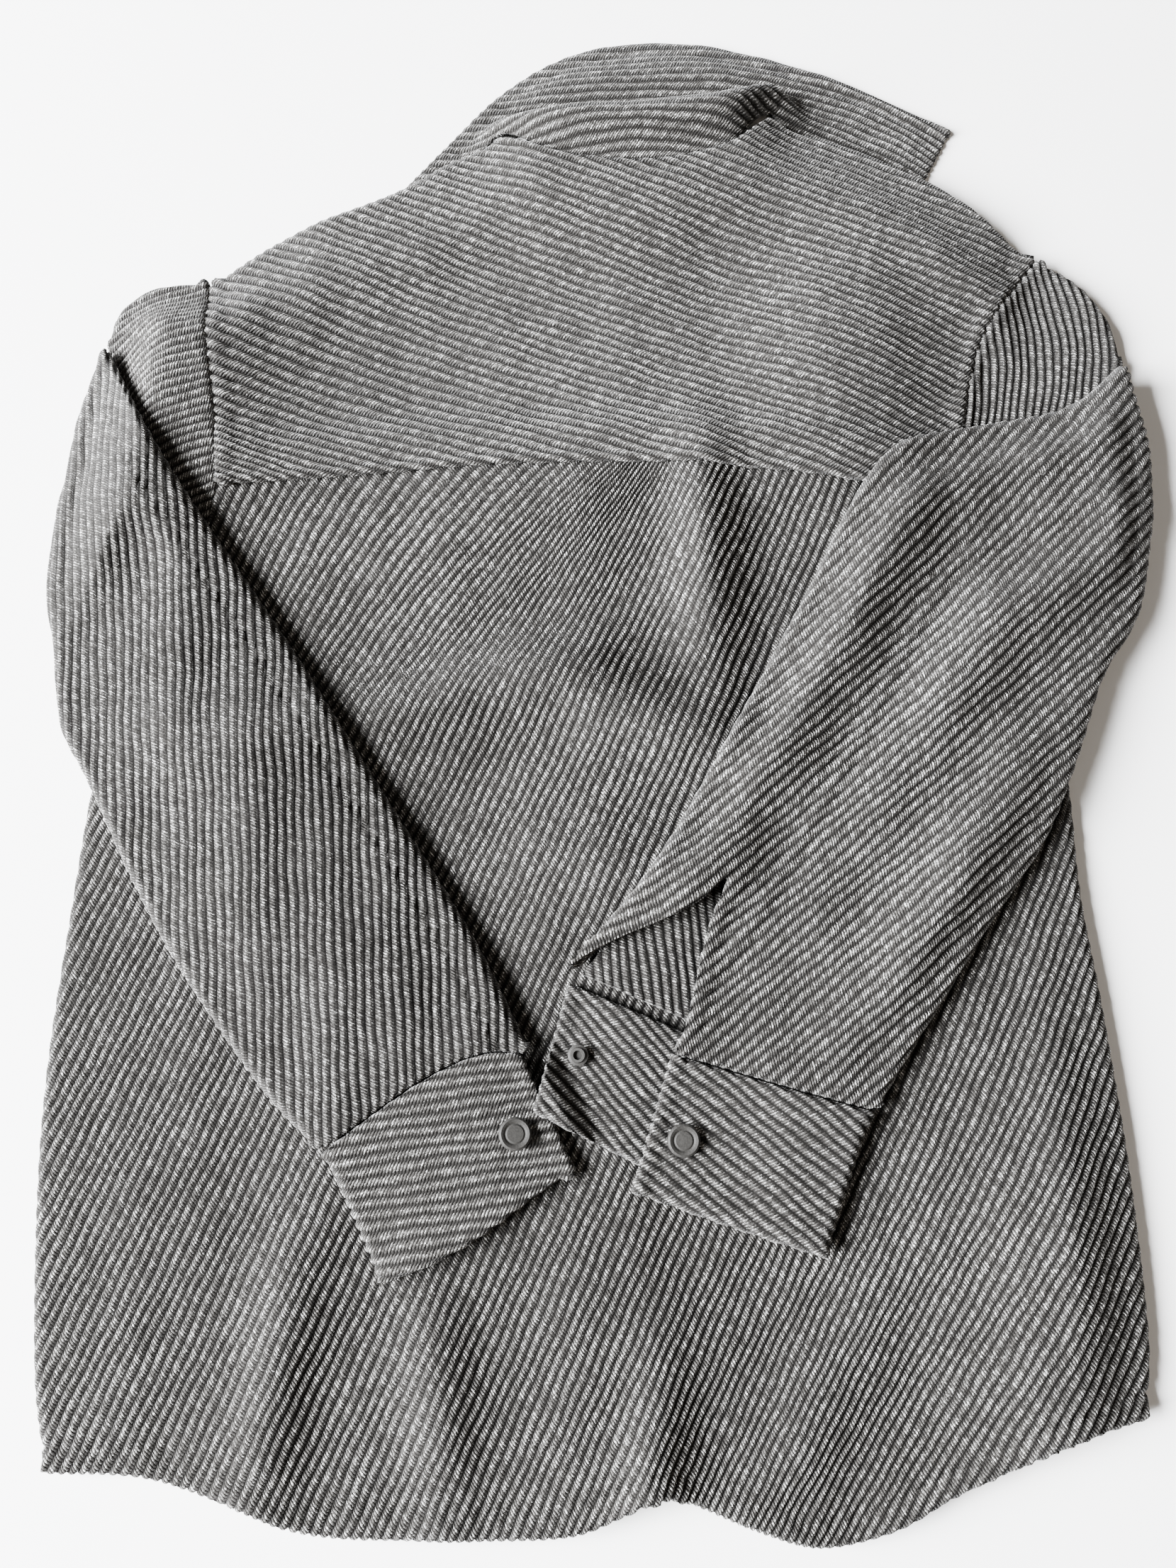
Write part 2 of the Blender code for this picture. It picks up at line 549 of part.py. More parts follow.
def sleeve_tube(sleeve, ridges, has_slit):
    """Sleeve as a flattened tube from the armhole, round the fold and over the back."""
    before, after = sleeve_shape(sleeve)
    out = np.array(sleeve.fold_out) / np.linalg.norm(sleeve.fold_out)
    away = np.array([ARMHOLE_PULL[0] * sleeve.fold_out[0], ARMHOLE_PULL[1]])
    inner_radius = WALL / 2 + LAYER_CLEARANCE / 2
    rows = []
    for along in np.linspace(0, 1, SLEEVE_ROWS_IN + 1)[:-1]:
        width = np.linalg.norm(before(along, 1) - before(along, 0))
        row = []
        for across, level in ring_places(SLIT_ACROSS, SLIT_ACROSS, width):
            spot = before(along, across)
            gap = ARMHOLE_GAP + UNDERARM_GAP * smooth_step((across - UNDERARM_BLEND[0]) / UNDERARM_BLEND[1])
            spot = spot + away * gap * (1 - along) ** 4
            top = top_height(*spot) - WALL / 2
            low = WALL / 2 + floor_height(*spot)
            row.append((spot[0], spot[1], low + (top - low) * level))
        rows.append(row)
    for angle in np.linspace(0, pi, SLEEVE_ROWS_FOLD + 1):
        width = np.linalg.norm(after(0, 1) - after(0, 0))
        row = []
        for across, level in ring_places(SLIT_ACROSS, SLIT_ACROSS, width):
            spot = before(1, across)
            top = top_height(*spot) - WALL / 2
            radius = inner_radius + (1 - level) * (top - WALL / 2)
            spot = spot + out * radius * sin(angle)
            row.append((spot[0], spot[1], top + inner_radius - radius * cos(angle)))
        rows.append(row)
    closed = len(rows)
    for along in np.linspace(0, 1, SLEEVE_ROWS_OUT + 1)[1:]:
        opening = smooth_step((along - SLIT_START) / (1 - SLIT_START)) if has_slit else 0.0
        slit_left = SLIT_ACROSS * (1 - opening)
        slit_right = SLIT_ACROSS + (SLIT_END_ACROSS - SLIT_ACROSS) * opening
        width = np.linalg.norm(after(along, 1) - after(along, 0))
        closed += opening == 0.0
        row = [sleeve_point(after, along, across, level, ridges, opening)
               for across, level in ring_places(slit_left, slit_right, width)]
        rows.append(row)
    return cloth(sleeve.name, rows, closed_rows=closed)


def sleeve_point(after, along, across, level, ridges, opening):
    """Point of the folded sleeve; where it is slit its upper layer has slipped down."""
    spot = after(along, across)
    down = after(1, across) - after(0.9, across)
    slip = SLIT_SLIP * opening * (1 - across) / (1 - SLIT_END_ACROSS)
    spot = spot + down / np.linalg.norm(down) * slip * level
    # The tube was turned over by the fold, so the slit's layer is named the upper one here
    return (spot[0], spot[1], sleeve_height(spot[0], spot[1], across, along, level, ridges))


def cuff_band(name, sleeve, ridges, start_across, side_steps, heights, slipped):
    """Unfastened cuff band: upper layer, turn at the outer side, then the lower layer."""
    after = sleeve_shape(sleeve)[1]
    turn = EDGE_RADIUS / np.linalg.norm(after(1, 1) - after(1, 0))
    places = [(w, 1.0) for w in np.linspace(start_across, 1 - turn, SLEEVE_COLUMNS + 2)]
    for angle in np.linspace(pi / 2, -pi / 2, TURN_STEPS + 1)[1:]:
        places.append((1 - turn + turn * cos(angle), (1 + sin(angle)) / 2))
    places += [(w, 0.0) for w in np.linspace(1 - turn, 0.02, 2 * SLEEVE_COLUMNS + 3)[1:]]
    rows = []
    for along in np.linspace(0, 1, CUFF_ROWS + 1):
        rows.append([cuff_point(after, along, across, level, ridges, side_steps, heights, slipped)
                     for across, level in places])
    return cloth(name, rows)


def cuff_point(after, along, across, level, ridges, side_steps, heights, slipped):
    """Point of a cuff, along from its seam at 0 to its edge at 1."""
    seam = sleeve_point(after, 1, across, level, ridges, slipped)
    near, far = np.array(side_steps[0]), np.array(side_steps[1])
    down = (1 - across) * near + across * far
    down = down / np.linalg.norm(down)
    height = (1 - across) * heights[0] + across * heights[1]
    if not slipped:
        height += CUFF_LEFT_BULGE * sin(pi * across)
    spot = np.array(seam[:2]) + down * (CUFF_GAP + height * along)
    fading = [ridge._replace(height=ridge.height * (1 - CUFF_RIDGE_LOSS * along)) for ridge in ridges]
    z = sleeve_height(spot[0], spot[1], across, 1, level, fading)
    if slipped:
        z += left_cuff_rise(*spot)
    else:
        side = 1 - smooth_step(across / CUFF_PINCH_ACROSS)
        z -= CUFF_PINCH * level * side * smooth_step(along / CUFF_PINCH_ALONG)
    return (spot[0], spot[1], z)


def collar_panel():
    """Collar: rises from the neck seam to a roll, then lies out flat beyond it."""
    inner, outer = curve(COLLAR_INNER), curve(COLLAR_OUTER)
    columns = []
    for u in np.linspace(0, 1, COLLAR_COLUMNS + 1):
        low, high = inner(u), outer(u)
        arch = smooth_step((low[0] - COLLAR_ARCH[0]) / COLLAR_ARCH_FADE)
        arch *= smooth_step((COLLAR_ARCH[1] - low[0]) / COLLAR_ARCH_FADE)
        column = []
        for v in np.linspace(0, 1, COLLAR_ROWS + 1):
            rise = COLLAR_SEAM_HEIGHT - WALL
            rise += (COLLAR_CREST_HEIGHT - COLLAR_SEAM_HEIGHT) * smooth_step(v / COLLAR_CREST_AT)
            rise *= arch * (1 - smooth_step((v - COLLAR_FALL[0]) / COLLAR_FALL[1]))
            spot = low + (high - low) * v
            column.append((spot[0], spot[1], WALL / 2 + rise))
        columns.append(column)
    return cloth("collar", columns)


def snap(name, radius, height, profile, place, normal):
    """Turned snap part: profile rows give shares of radius and of height, top middle first."""
    turned = bmesh.new()
    verts = [turned.verts.new((radius * across, 0.0, height * up)) for across, up in profile]
    for a, b in zip(verts, verts[1:]):
        turned.edges.new((a, b))
    mesh = bpy.data.meshes.new(name)
    turned.to_mesh(mesh)
    turned.free()
    made = finish_object(name, mesh, SNAP)
    screw = made.modifiers.new("Turn", "SCREW")
    screw.steps = ROUND_STEPS
    screw.render_steps = ROUND_STEPS
    screw.use_merge_vertices = True
    screw.merge_threshold = 0.00001
    made.matrix_world = Matrix.Translation(Vector(place)) @ \
        Vector((0, 0, 1)).rotation_difference(Vector(normal)).to_matrix().to_4x4()
    return made


CAP_PROFILE = [(0.0, 0.86), (0.50, 0.84), (0.60, 0.70), (0.72, 0.88), (0.86, 1.0), (0.97, 0.80),
               (1.0, 0.40), (0.94, 0.0), (0.0, 0.0)]
STUD_PROFILE = [(0.0, 0.25), (0.38, 0.25), (0.45, 1.0), (0.68, 1.0), (0.78, 0.55), (1.0, 0.35),
                (1.0, 0.0), (0.0, 0.0)]
FLAT_PROFILE = [(0.0, 1.0), (0.90, 1.0), (1.0, 0.75), (1.0, 0.0), (0.0, 0.0)]


def snap_on_cuff(name, profile, radius, height, cuff, across, along, level, seat):
    """Seat a snap part on a cuff, square to the cloth there."""
    spot = np.array(cuff(along, across, level))
    east = np.array(cuff(along, across + 0.02, level)) - np.array(cuff(along, across - 0.02, level))
    south = np.array(cuff(along + 0.05, across, level)) - np.array(cuff(along - 0.05, across, level))
    normal = np.cross(south, east)
    normal /= np.linalg.norm(normal)
    if normal[2] < 0:
        normal = -normal
    place = spot + normal * (WALL / 2 + seat)
    return snap(name, radius, height, profile, place, normal)


def cuff_snaps():
    """Caps of both cuffs and the stud on the inside of the right one."""
    for side, sleeve, ridges, steps, heights, slipped in (
            ("left", SLEEVE_LEFT, RIDGES_LEFT, LEFT_CUFF_STEPS, CUFF_LEFT_HEIGHTS, 0.0),
            ("right", SLEEVE_RIGHT, RIDGES_RIGHT, RIGHT_CUFF_STEPS, CUFF_RIGHT_HEIGHTS, 1.0)):
        after = sleeve_shape(sleeve)[1]

        def cuff(along, across, level):
            return cuff_point(after, along, across, level, ridges, steps, heights, slipped)
        across, along = CAP_PLACES[side]
        snap_on_cuff("snap_cap_" + side, CAP_PROFILE, CAP_RADIUS, CAP_HEIGHT, cuff, across, along, 1.0,
                     CAP_SEAT)
        if side == "right":
            snap_on_cuff("snap_stud_right", STUD_PROFILE, STUD_RADIUS, STUD_HEIGHT, cuff, *STUD_PLACE, 0.0,
                         STUD_SEAT)


def front_snaps():
    """Caps of the front's snaps, under the lap and level with the flat underside."""
    centre = curve(CENTRE_FRONT)
    for number in range(FRONT_SNAP_COUNT):
        spot = centre(FIRST_SNAP + (LAST_SNAP - FIRST_SNAP) * number / (FRONT_SNAP_COUNT - 1))
        snap("front_snap_%d" % (number + 1), FRONT_SNAP_RADIUS, FRONT_SNAP_HEIGHT, FLAT_PROFILE,
             (spot[0], spot[1], 0.0), (0, 0, 1))


def move_to_origin():
    """Put the middle of the bounding box at X and Y zero."""
    bpy.context.view_layer.update()
    graph = bpy.context.evaluated_depsgraph_get()
    corners = []
    for item in collection.objects:
        mesh = item.evaluated_get(graph).to_mesh()
        corners += [item.matrix_world @ vertex.co for vertex in mesh.vertices]
    low = Vector((min(c[k] for c in corners) for k in range(3)))
    high = Vector((max(c[k] for c in corners) for k in range(3)))
    shift = (low + high) / 2
    shift.z = 0.0
    for item in collection.objects:
        item.matrix_world = Matrix.Translation(-shift) @ item.matrix_world


front_panel("front_left", -1)
front_panel("front_right", 1)
back_panel()
yoke_panel()
collar_panel()
sleeve_tube(SLEEVE_LEFT, RIDGES_LEFT, False)
sleeve_tube(SLEEVE_RIGHT, RIDGES_RIGHT, True)
cuff_band("cuff_left", SLEEVE_LEFT, RIDGES_LEFT, CUFF_LEFT_START, LEFT_CUFF_STEPS, CUFF_LEFT_HEIGHTS, 0.0)
cuff_band("cuff_right", SLEEVE_RIGHT, RIDGES_RIGHT, SLIT_END_ACROSS, RIGHT_CUFF_STEPS,
          CUFF_RIGHT_HEIGHTS, 1.0)
front_snaps()
cuff_snaps()
move_to_origin()
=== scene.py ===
from math import cos, pi, radians, sin

import bmesh
import bpy
import numpy as np
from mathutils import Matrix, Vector, geometry, kdtree


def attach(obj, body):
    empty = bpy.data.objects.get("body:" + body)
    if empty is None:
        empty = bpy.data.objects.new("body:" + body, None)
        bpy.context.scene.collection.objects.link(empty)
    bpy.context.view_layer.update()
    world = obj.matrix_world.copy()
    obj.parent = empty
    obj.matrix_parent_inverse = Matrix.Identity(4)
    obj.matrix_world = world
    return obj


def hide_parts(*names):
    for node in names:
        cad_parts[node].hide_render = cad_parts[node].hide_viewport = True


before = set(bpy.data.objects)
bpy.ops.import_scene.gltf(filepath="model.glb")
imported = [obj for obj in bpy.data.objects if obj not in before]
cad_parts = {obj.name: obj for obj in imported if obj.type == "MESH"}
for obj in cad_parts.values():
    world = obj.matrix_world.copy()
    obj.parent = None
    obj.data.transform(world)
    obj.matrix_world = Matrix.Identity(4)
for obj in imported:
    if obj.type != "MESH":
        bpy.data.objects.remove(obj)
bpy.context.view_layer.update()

# Table, light and camera
# The garment lies on a plain pale table beside a window: wide soft light from its left side,
# a weak fill from the room, and the camera above the hem, tilted a little towards the collar.
bpy.ops.object.select_all(action="DESELECT")
bpy.ops.mesh.primitive_plane_add(size=8.0, location=(0.0, 0.0, 0.0))
table = bpy.context.object
table.name = "pale_table"
table_look = bpy.data.materials.new("Pale table")
table_look.use_nodes = True
table_shader = table_look.node_tree.nodes["Principled BSDF"]
table_shader.inputs["Base Color"].default_value = (0.95, 0.95, 0.95, 1.0)
table_shader.inputs["Roughness"].default_value = 0.9
table.data.materials.append(table_look)

room = bpy.data.worlds.new("Room")
bpy.context.scene.world = room
room.use_nodes = True
room.node_tree.nodes["Background"].inputs["Color"].default_value = (1.0, 0.94, 0.87, 1.0)
room.node_tree.nodes["Background"].inputs["Strength"].default_value = 0.15

for name, place, size, power, colour in (
        ("Window", (-3.45, -0.55, 1.9), 2.6, 2800.0, (0.975, 0.985, 1.0)),
        ("Far wall", (1.6, -2.6, 2.8), 3.0, 40.0, (1.0, 0.86, 0.70))):
    lamp = bpy.data.lights.new(name, "AREA")
    lamp.size = size
    lamp.energy = power
    lamp.color = colour
    holder = bpy.data.objects.new(name, lamp)
    holder.location = place
    holder.rotation_euler = (-Vector(place)).to_track_quat("-Z", "Y").to_euler()
    bpy.context.collection.objects.link(holder)

CENTRE = np.array([0.00903, 0.00958])
lens = bpy.data.cameras.new("Camera")
lens.sensor_width = 36.0
lens.lens = 1850.0 * 36.0 / 2212.0
camera = bpy.data.objects.new("Camera", lens)
camera.location = (-CENTRE[0], -0.183 - CENTRE[1], 0.69)
camera.rotation_euler = (radians(12.0), 0.0, 0.0)
bpy.context.collection.objects.link(camera)
bpy.context.scene.camera = camera


# Fronts
# The two fronts lie flat on the table under everything, the wearer's left one lapped over the
# right one, and close with a row of snaps. Like every panel they are cut from brushed wool twill
# with rope-like ribs, here with its outside down.
class Wire:
    """Socket of a shader, or a plain number, whose sums and products add Math nodes."""

    def __init__(self, tree, socket):
        self.tree, self.socket = tree, socket

    def node(self, kind, sockets, settings=None, out=0):
        """Any other node: its settings first, then the values or wires of its sockets."""
        made = self.tree.nodes.new(kind)
        for key, value in (settings or {}).items():
            if key == "stops":
                for place, colour in value[len(made.color_ramp.elements):]:
                    made.color_ramp.elements.new(place)
                for stop, (place, colour) in zip(made.color_ramp.elements, value):
                    stop.position = place
                    stop.color = (*colour, 1.0)
            else:
                setattr(made, key, value)
        for key, value in sockets.items():
            if isinstance(value, Wire):
                self.tree.links.new(value.socket, made.inputs[key])
            else:
                made.inputs[key].default_value = value
        return Wire(self.tree, made.outputs[out])

    def math(self, operation, *values):
        return self.node("ShaderNodeMath", dict(enumerate(values)), {"operation": operation})

    def __add__(self, other):
        return self.math("ADD", self, other)

    def __sub__(self, other):
        return self.math("SUBTRACT", self, other)

    def __rsub__(self, other):
        return self.math("SUBTRACT", other, self)

    def __mul__(self, other):
        return self.math("MULTIPLY", self, other)

    __radd__ = __add__
    __rmul__ = __mul__

    def part(self, axis):
        """One axis of a vector."""
        return self.node("ShaderNodeSeparateXYZ", {"Vector": self}, out=axis)


# Ribs lie five millimetres apart with a groove between them, coloured dark for its charcoal yarn
# and with painted shade, and slanted strands of pale and darker fibres cross each rib.
STRANDS_PER_RIB = 3.1
STRAND_SLANT = 1.7


def twill(name, groove_yarn_and_shade, stops, relief):
    """Twill material: colour of the grooves (dark yarn with painted shade), greys of the strands
    and depth of the grooves.
    """
    made = bpy.data.materials.new(name)
    made.use_nodes = True
    tree = made.node_tree
    shader = tree.nodes["Principled BSDF"]
    start = Wire(tree, None)
    ribs = start.node("ShaderNodeUVMap", {}, {"uv_map": "ribs"})
    place = start.node("ShaderNodeTexCoord", {}, out=3)
    rib, along = ribs.part(0), ribs.part(1)
    wander = start.node("ShaderNodeTexNoise", {"Vector": place, "Scale": 190.0, "Detail": 3.0})
    ragged = start.node("ShaderNodeTexNoise", {"Vector": place, "Scale": 620.0, "Detail": 2.0})
    rib = rib + (wander - 0.5) * 0.34 + (ragged - 0.5) * 0.20
    number = rib.math("FLOOR", rib)
    across = rib - number - 0.5
    low = across.math("ABSOLUTE", across) * 2.0
    twist = along * STRANDS_PER_RIB - across * STRAND_SLANT + number * 0.37 + wander * 1.1
    strand = twist.math("SINE", twist * (2 * pi)) * 0.5 + 0.5
    # Darker between the strands towards the groove: painted shade, carried by the groove mask
    # below.
    gap = (1.0 - strand) * low.math("POWER", low, 1.4)
    # Groove mask: mixes in the groove colour (charcoal yarn with painted shade in the hollow) and
    # sets the groove's bump depth.
    groove_yarn_shade_depth = low.math("MINIMUM", low.math("POWER", low, 2.5) * 1.25 + gap * 0.50, 1.0)
    single = start.node("ShaderNodeCombineXYZ", {"X": twist.math("FLOOR", twist), "Y": number})
    tuft = start.node("ShaderNodeTexWhiteNoise", {"Vector": single}, {"noise_dimensions": "2D"})
    lean = start.node("ShaderNodeCombineXYZ",
                      {"X": (along * 0.64 + across * 0.77) * 3.0,
                       "Y": (along * 0.77 - across * 0.64) * 12.0, "Z": number})
    fibre = start.node("ShaderNodeTexNoise",
                       {"Vector": lean, "Scale": 1.0, "Detail": 4.0, "Roughness": 0.7})
    fleck = start.node("ShaderNodeTexNoise",
                       {"Vector": place, "Scale": 1250.0, "Detail": 2.0, "Roughness": 0.6})
    cloud = start.node("ShaderNodeTexNoise", {"Vector": place, "Scale": 9.0, "Detail": 2.0})
    # The minus low term darkens the grey towards each rib's sides: painted shade of the rope's
    # round.
    bright = (strand * 0.30 + tuft * 0.26 + fibre * 1.90 + fleck * 0.90 + cloud * 0.20
              - low * 0.22 - 1.41)
    grey = start.node("ShaderNodeValToRGB", {"Fac": bright}, {"stops": stops})
    colour = start.node("ShaderNodeMix", {0: groove_yarn_shade_depth, 6: grey, 7: (*groove_yarn_and_shade, 1.0)},
                        {"data_type": "RGBA"}, out=2)
    height = strand * 0.00032 + fibre * 0.00014 + fleck * 0.00008 - groove_yarn_shade_depth * relief
    bump = start.node("ShaderNodeBump", {"Height": height, "Strength": 0.9, "Distance": 1.0})
    tree.links.new(colour.socket, shader.inputs["Base Color"])
    tree.links.new(bump.socket, shader.inputs["Normal"])
    shader.inputs["Roughness"].default_value = 0.95
    shader.inputs["Specular IOR Level"].default_value = 0.10
    shader.inputs["Sheen Weight"].default_value = 0.10
    shader.inputs["Sheen Roughness"].default_value = 0.5
    return made


# Groove colour: charcoal yarn, darkened further with painted shade of the groove.
OUTER_TWILL = twill("Grey twill, outer side", (0.008, 0.0073, 0.0067),
                    # Palest stop (0.90): pale fibre tops brightened into a painted highlight.
                    [(0.10, (0.017, 0.0158, 0.0147)), (0.36, (0.050, 0.0482, 0.0455)),
                     (0.56, (0.150, 0.147, 0.142)), (0.80, (0.90, 0.90, 0.895))], 0.0010)


# Each panel is cut along its outline, its edge rolled under with its own radius. The wall is
# three millimetres thick, ribbed outside and plain inside.
WALL = 0.003
EDGE_ROLL = 0.0048
LAP_ROLL = 0.0016
RIB_DEPTH = 0.0017
RIB_STEPS = 4
RIB_PROUD = 0.0003
HIDDEN_STEP = 0.007


def smooth(value):
    share = np.clip(value, 0.0, 1.0)
    return share * share * (3 - 2 * share)


def curve(points, step=0.001):
    """Smooth line through the points, with a point every step."""
    knots = np.array(points, float)
    ends = np.vstack([2 * knots[0] - knots[1], knots, 2 * knots[-1] - knots[-2]])
    line = []
    for a, b, c, d in zip(ends, ends[1:], ends[2:], ends[3:]):
        for t in np.linspace(0, 1, 24, endpoint=False):
            line.append(0.5 * (2 * b + (c - a) * t + (2 * a - 5 * b + 4 * c - d) * t * t
                               + (3 * b - a - 3 * c + d) * t ** 3))
    line = np.array(line + [knots[-1]])
    length = np.concatenate([[0], np.cumsum(np.linalg.norm(np.diff(line, axis=0), axis=1))])
    stops = np.linspace(0, length[-1], max(int(length[-1] / step), 2) + 1)
    return np.stack([np.interp(stops, length, line[:, k]) for k in range(2)], axis=1)


def nearest(points, line):
    """Distance of each point to a line of points, and the number of its nearest one."""
    tree = kdtree.KDTree(len(line))
    for number, spot in enumerate(line):
        tree.insert((spot[0], spot[1], 0.0), number)
    tree.balance()
    found = [tree.find((x, y, 0.0)) for x, y in points]
    return np.array([item[2] for item in found]), np.array([item[1] for item in found])


def inside(points, ring):
    """True for each point within a closed ring."""
    hits = np.zeros(len(points), bool)
    for (ax, ay), (bx, by) in zip(ring, np.roll(ring, -1, axis=0)):
        if ay != by:
            spans = (ay > points[:, 1]) != (by > points[:, 1])
            hits ^= spans & (points[:, 0] < ax + (points[:, 1] - ay) / (by - ay) * (bx - ax))
    return hits


def blurred(values, reach):
    """Values round a ring, averaged over their neighbours."""
    kernel = np.hanning(2 * reach + 3)
    wide = np.concatenate([values[-reach - 1:], values, values[:reach + 1]])
    return np.convolve(wide, kernel / kernel.sum(), "valid")


class Terrain:
    """Heights worked out once on a grid of points, and read between them."""

    def __init__(self, height, corners, step=0.002):
        spots = np.array(corners)
        self.low, self.step = spots.min(axis=0) - 0.014, step
        count = np.ceil((spots.max(axis=0) + 0.014 - self.low) / step).astype(int) + 2
        stops = [self.low[k] + np.arange(count[k]) * step for k in range(2)]
        x, y = np.meshgrid(*stops, indexing="ij")
        self.grid = height(x.ravel(), y.ravel()).reshape(count)

    def __call__(self, x, y):
        a = np.clip((x - self.low[0]) / self.step, 0, self.grid.shape[0] - 1.001)
        b = np.clip((y - self.low[1]) / self.step, 0, self.grid.shape[1] - 1.001)
        i, j = a.astype(int), b.astype(int)
        a, b = a - i, b - j
        return ((self.grid[i, j] * (1 - a) + self.grid[i + 1, j] * a) * (1 - b)
                + (self.grid[i, j + 1] * (1 - a) + self.grid[i + 1, j + 1] * a) * b)


class Panel:
    """Outline of a cut panel with the roll of its edges, and the map onto its surface."""

    def __init__(self, edges, height, soften=1):
        """Edges go round to the left, each with its points, roll radius and rolled angle."""
        self.height = height
        pieces, rolls, angles = [], [], []
        for points, roll, angle in edges:
            line = curve(points)[:-1]
            pieces.append(line)
            shares = np.linspace(0, 1, len(line))
            rolls.append(roll(shares) if callable(roll) else np.full(len(line), roll))
            angles.append(np.full(len(line), angle))
        ring = np.vstack(pieces)
        self.ring = np.stack([blurred(ring[:, k], soften) for k in range(2)], axis=1)
        self.roll = np.maximum(blurred(np.concatenate(rolls), 6), 0.0002)
        self.angle = blurred(np.concatenate(angles), 4)
        step = np.roll(self.ring, -2, axis=0) - np.roll(self.ring, 2, axis=0)
        step = np.stack([blurred(step[:, k], 3) for k in range(2)], axis=1)
        step /= np.linalg.norm(step, axis=1)[:, None]
        self.out = np.stack([step[:, 1], -step[:, 0]], axis=1)
        reach = self.roll * np.maximum(self.angle - 1, 0.0)
        self.cut = self.ring + self.out * reach[:, None]

    def place(self, flat, number):
        """Point on the surface for each point of the flat cut, and how far it has rolled."""
        out, roll = self.out[number], self.roll[number]
        past = ((flat - self.ring[number]) * out).sum(axis=1) + roll
        turn = np.clip(past / roll, 0.0, self.angle[number])
        rolled = flat - out * (past - roll * np.sin(turn))[:, None]
        moved = np.where((past > 0)[:, None], rolled, flat)
        drop = roll * (1 - np.cos(turn)) * (past > 0)
        low = self.height(moved[:, 0], moved[:, 1]) - drop
        return np.column_stack([moved, np.maximum(low, 0.0)]), turn * (past > 0)

    def surface(self, flat):
        """Points, turns and normals of the surface at each point of the flat cut."""
        number = nearest(flat, self.cut)[1]
        step = 0.0004
        east = self.place(flat + (step, 0), number)[0] - self.place(flat - (step, 0), number)[0]
        north = self.place(flat + (0, step), number)[0] - self.place(flat - (0, step), number)[0]
        square = np.cross(east, north)
        normals = square / np.maximum(np.linalg.norm(square, axis=1), 1e-12)[:, None]
        return (*self.place(flat, number), normals, number)


class Ribs:
    """Rib direction over a panel in degrees and its pitch, with bends along and across."""

    def __init__(self, direction, bends=(), pitch=0.0048):
        """A bend is (start along, middle across, soft length, slope, width across)."""
        angle = radians(direction)
        self.along = np.array([cos(angle), sin(angle)])
        self.side = np.array([-sin(angle), cos(angle)])
        self.bends, self.pitch = bends, pitch

    def bend(self, across, along):
        total = (0.0004 * np.sin(along * 75 + across * 160)
                 + 0.0002 * np.sin(along * 210 - across * 130))
        for start, middle, soft, slope, width in self.bends:
            window = np.exp(-((across - middle) / width) ** 2)
            total = total + slope * window * soft * np.logaddexp(0, (along - start) / soft)
        return total

    def to_flat(self, across, along):
        moved = across + self.bend(across, along)
        return along[:, None] * self.along + moved[:, None] * self.side

    def from_flat(self, flat):
        along, moved = flat @ self.along, flat @ self.side
        across = moved.copy()
        for _ in range(12):
            across = 0.4 * across + 0.6 * (moved - self.bend(across, along))
        return across, along


def lattice(panel, ribs, across_step, along_step, fine, zone):
    """Points of the cut on lines along the ribs, closer together near a rolled edge."""
    across, along = ribs.from_flat(panel.cut)
    lines = np.arange(np.floor(across.min() / across_step), np.ceil(across.max() / across_step) + 1)
    first, last = along.min() / along_step * fine, along.max() / along_step * fine
    stops = np.arange(np.floor(first), np.ceil(last) + 1)
    a, b = np.meshgrid(lines * across_step, stops * along_step / fine, indexing="ij")
    coarse = np.broadcast_to(stops % fine == 0, a.shape).ravel()
    a, b = a.ravel(), b.ravel()
    flat = ribs.to_flat(a, b)
    keep = inside(flat, panel.cut[::4])
    a, b, flat, coarse = a[keep], b[keep], flat[keep], coarse[keep]
    distance, number = nearest(flat, panel.cut)
    deep = panel.roll[number] * panel.angle[number] + zone
    keep = (distance > 0.0007) & (coarse | (distance < deep))
    return a[keep], b[keep]


def joined_triangles(ribs, panel, a, b, squash):
    """Triangles between the points and the cut's edge, and the edge's own rib places."""
    edge_a, edge_b = ribs.from_flat(panel.cut)
    a, b = np.concatenate([edge_a, a]), np.concatenate([edge_b, b])
    spots = [Vector((x, y / squash)) for x, y in zip(a, b)]
    made = geometry.delaunay_2d_cdt(spots, [], [list(range(len(edge_a)))], 1, 1e-8)
    places = np.array([tuple(spot) for spot in made[0]])
    return places[:, 0], places[:, 1] * squash, [tuple(face) for face in made[2]]


def rib_height(share, turn):
    """Rise of a rib's rope over the wall, faded where the edge has rolled under."""
    share = np.abs(share - np.floor(share) - 0.5) * 2
    return (RIB_PROUD - RIB_DEPTH * share ** 2.4) * (1 - smooth((turn - 2.2) / 0.6))


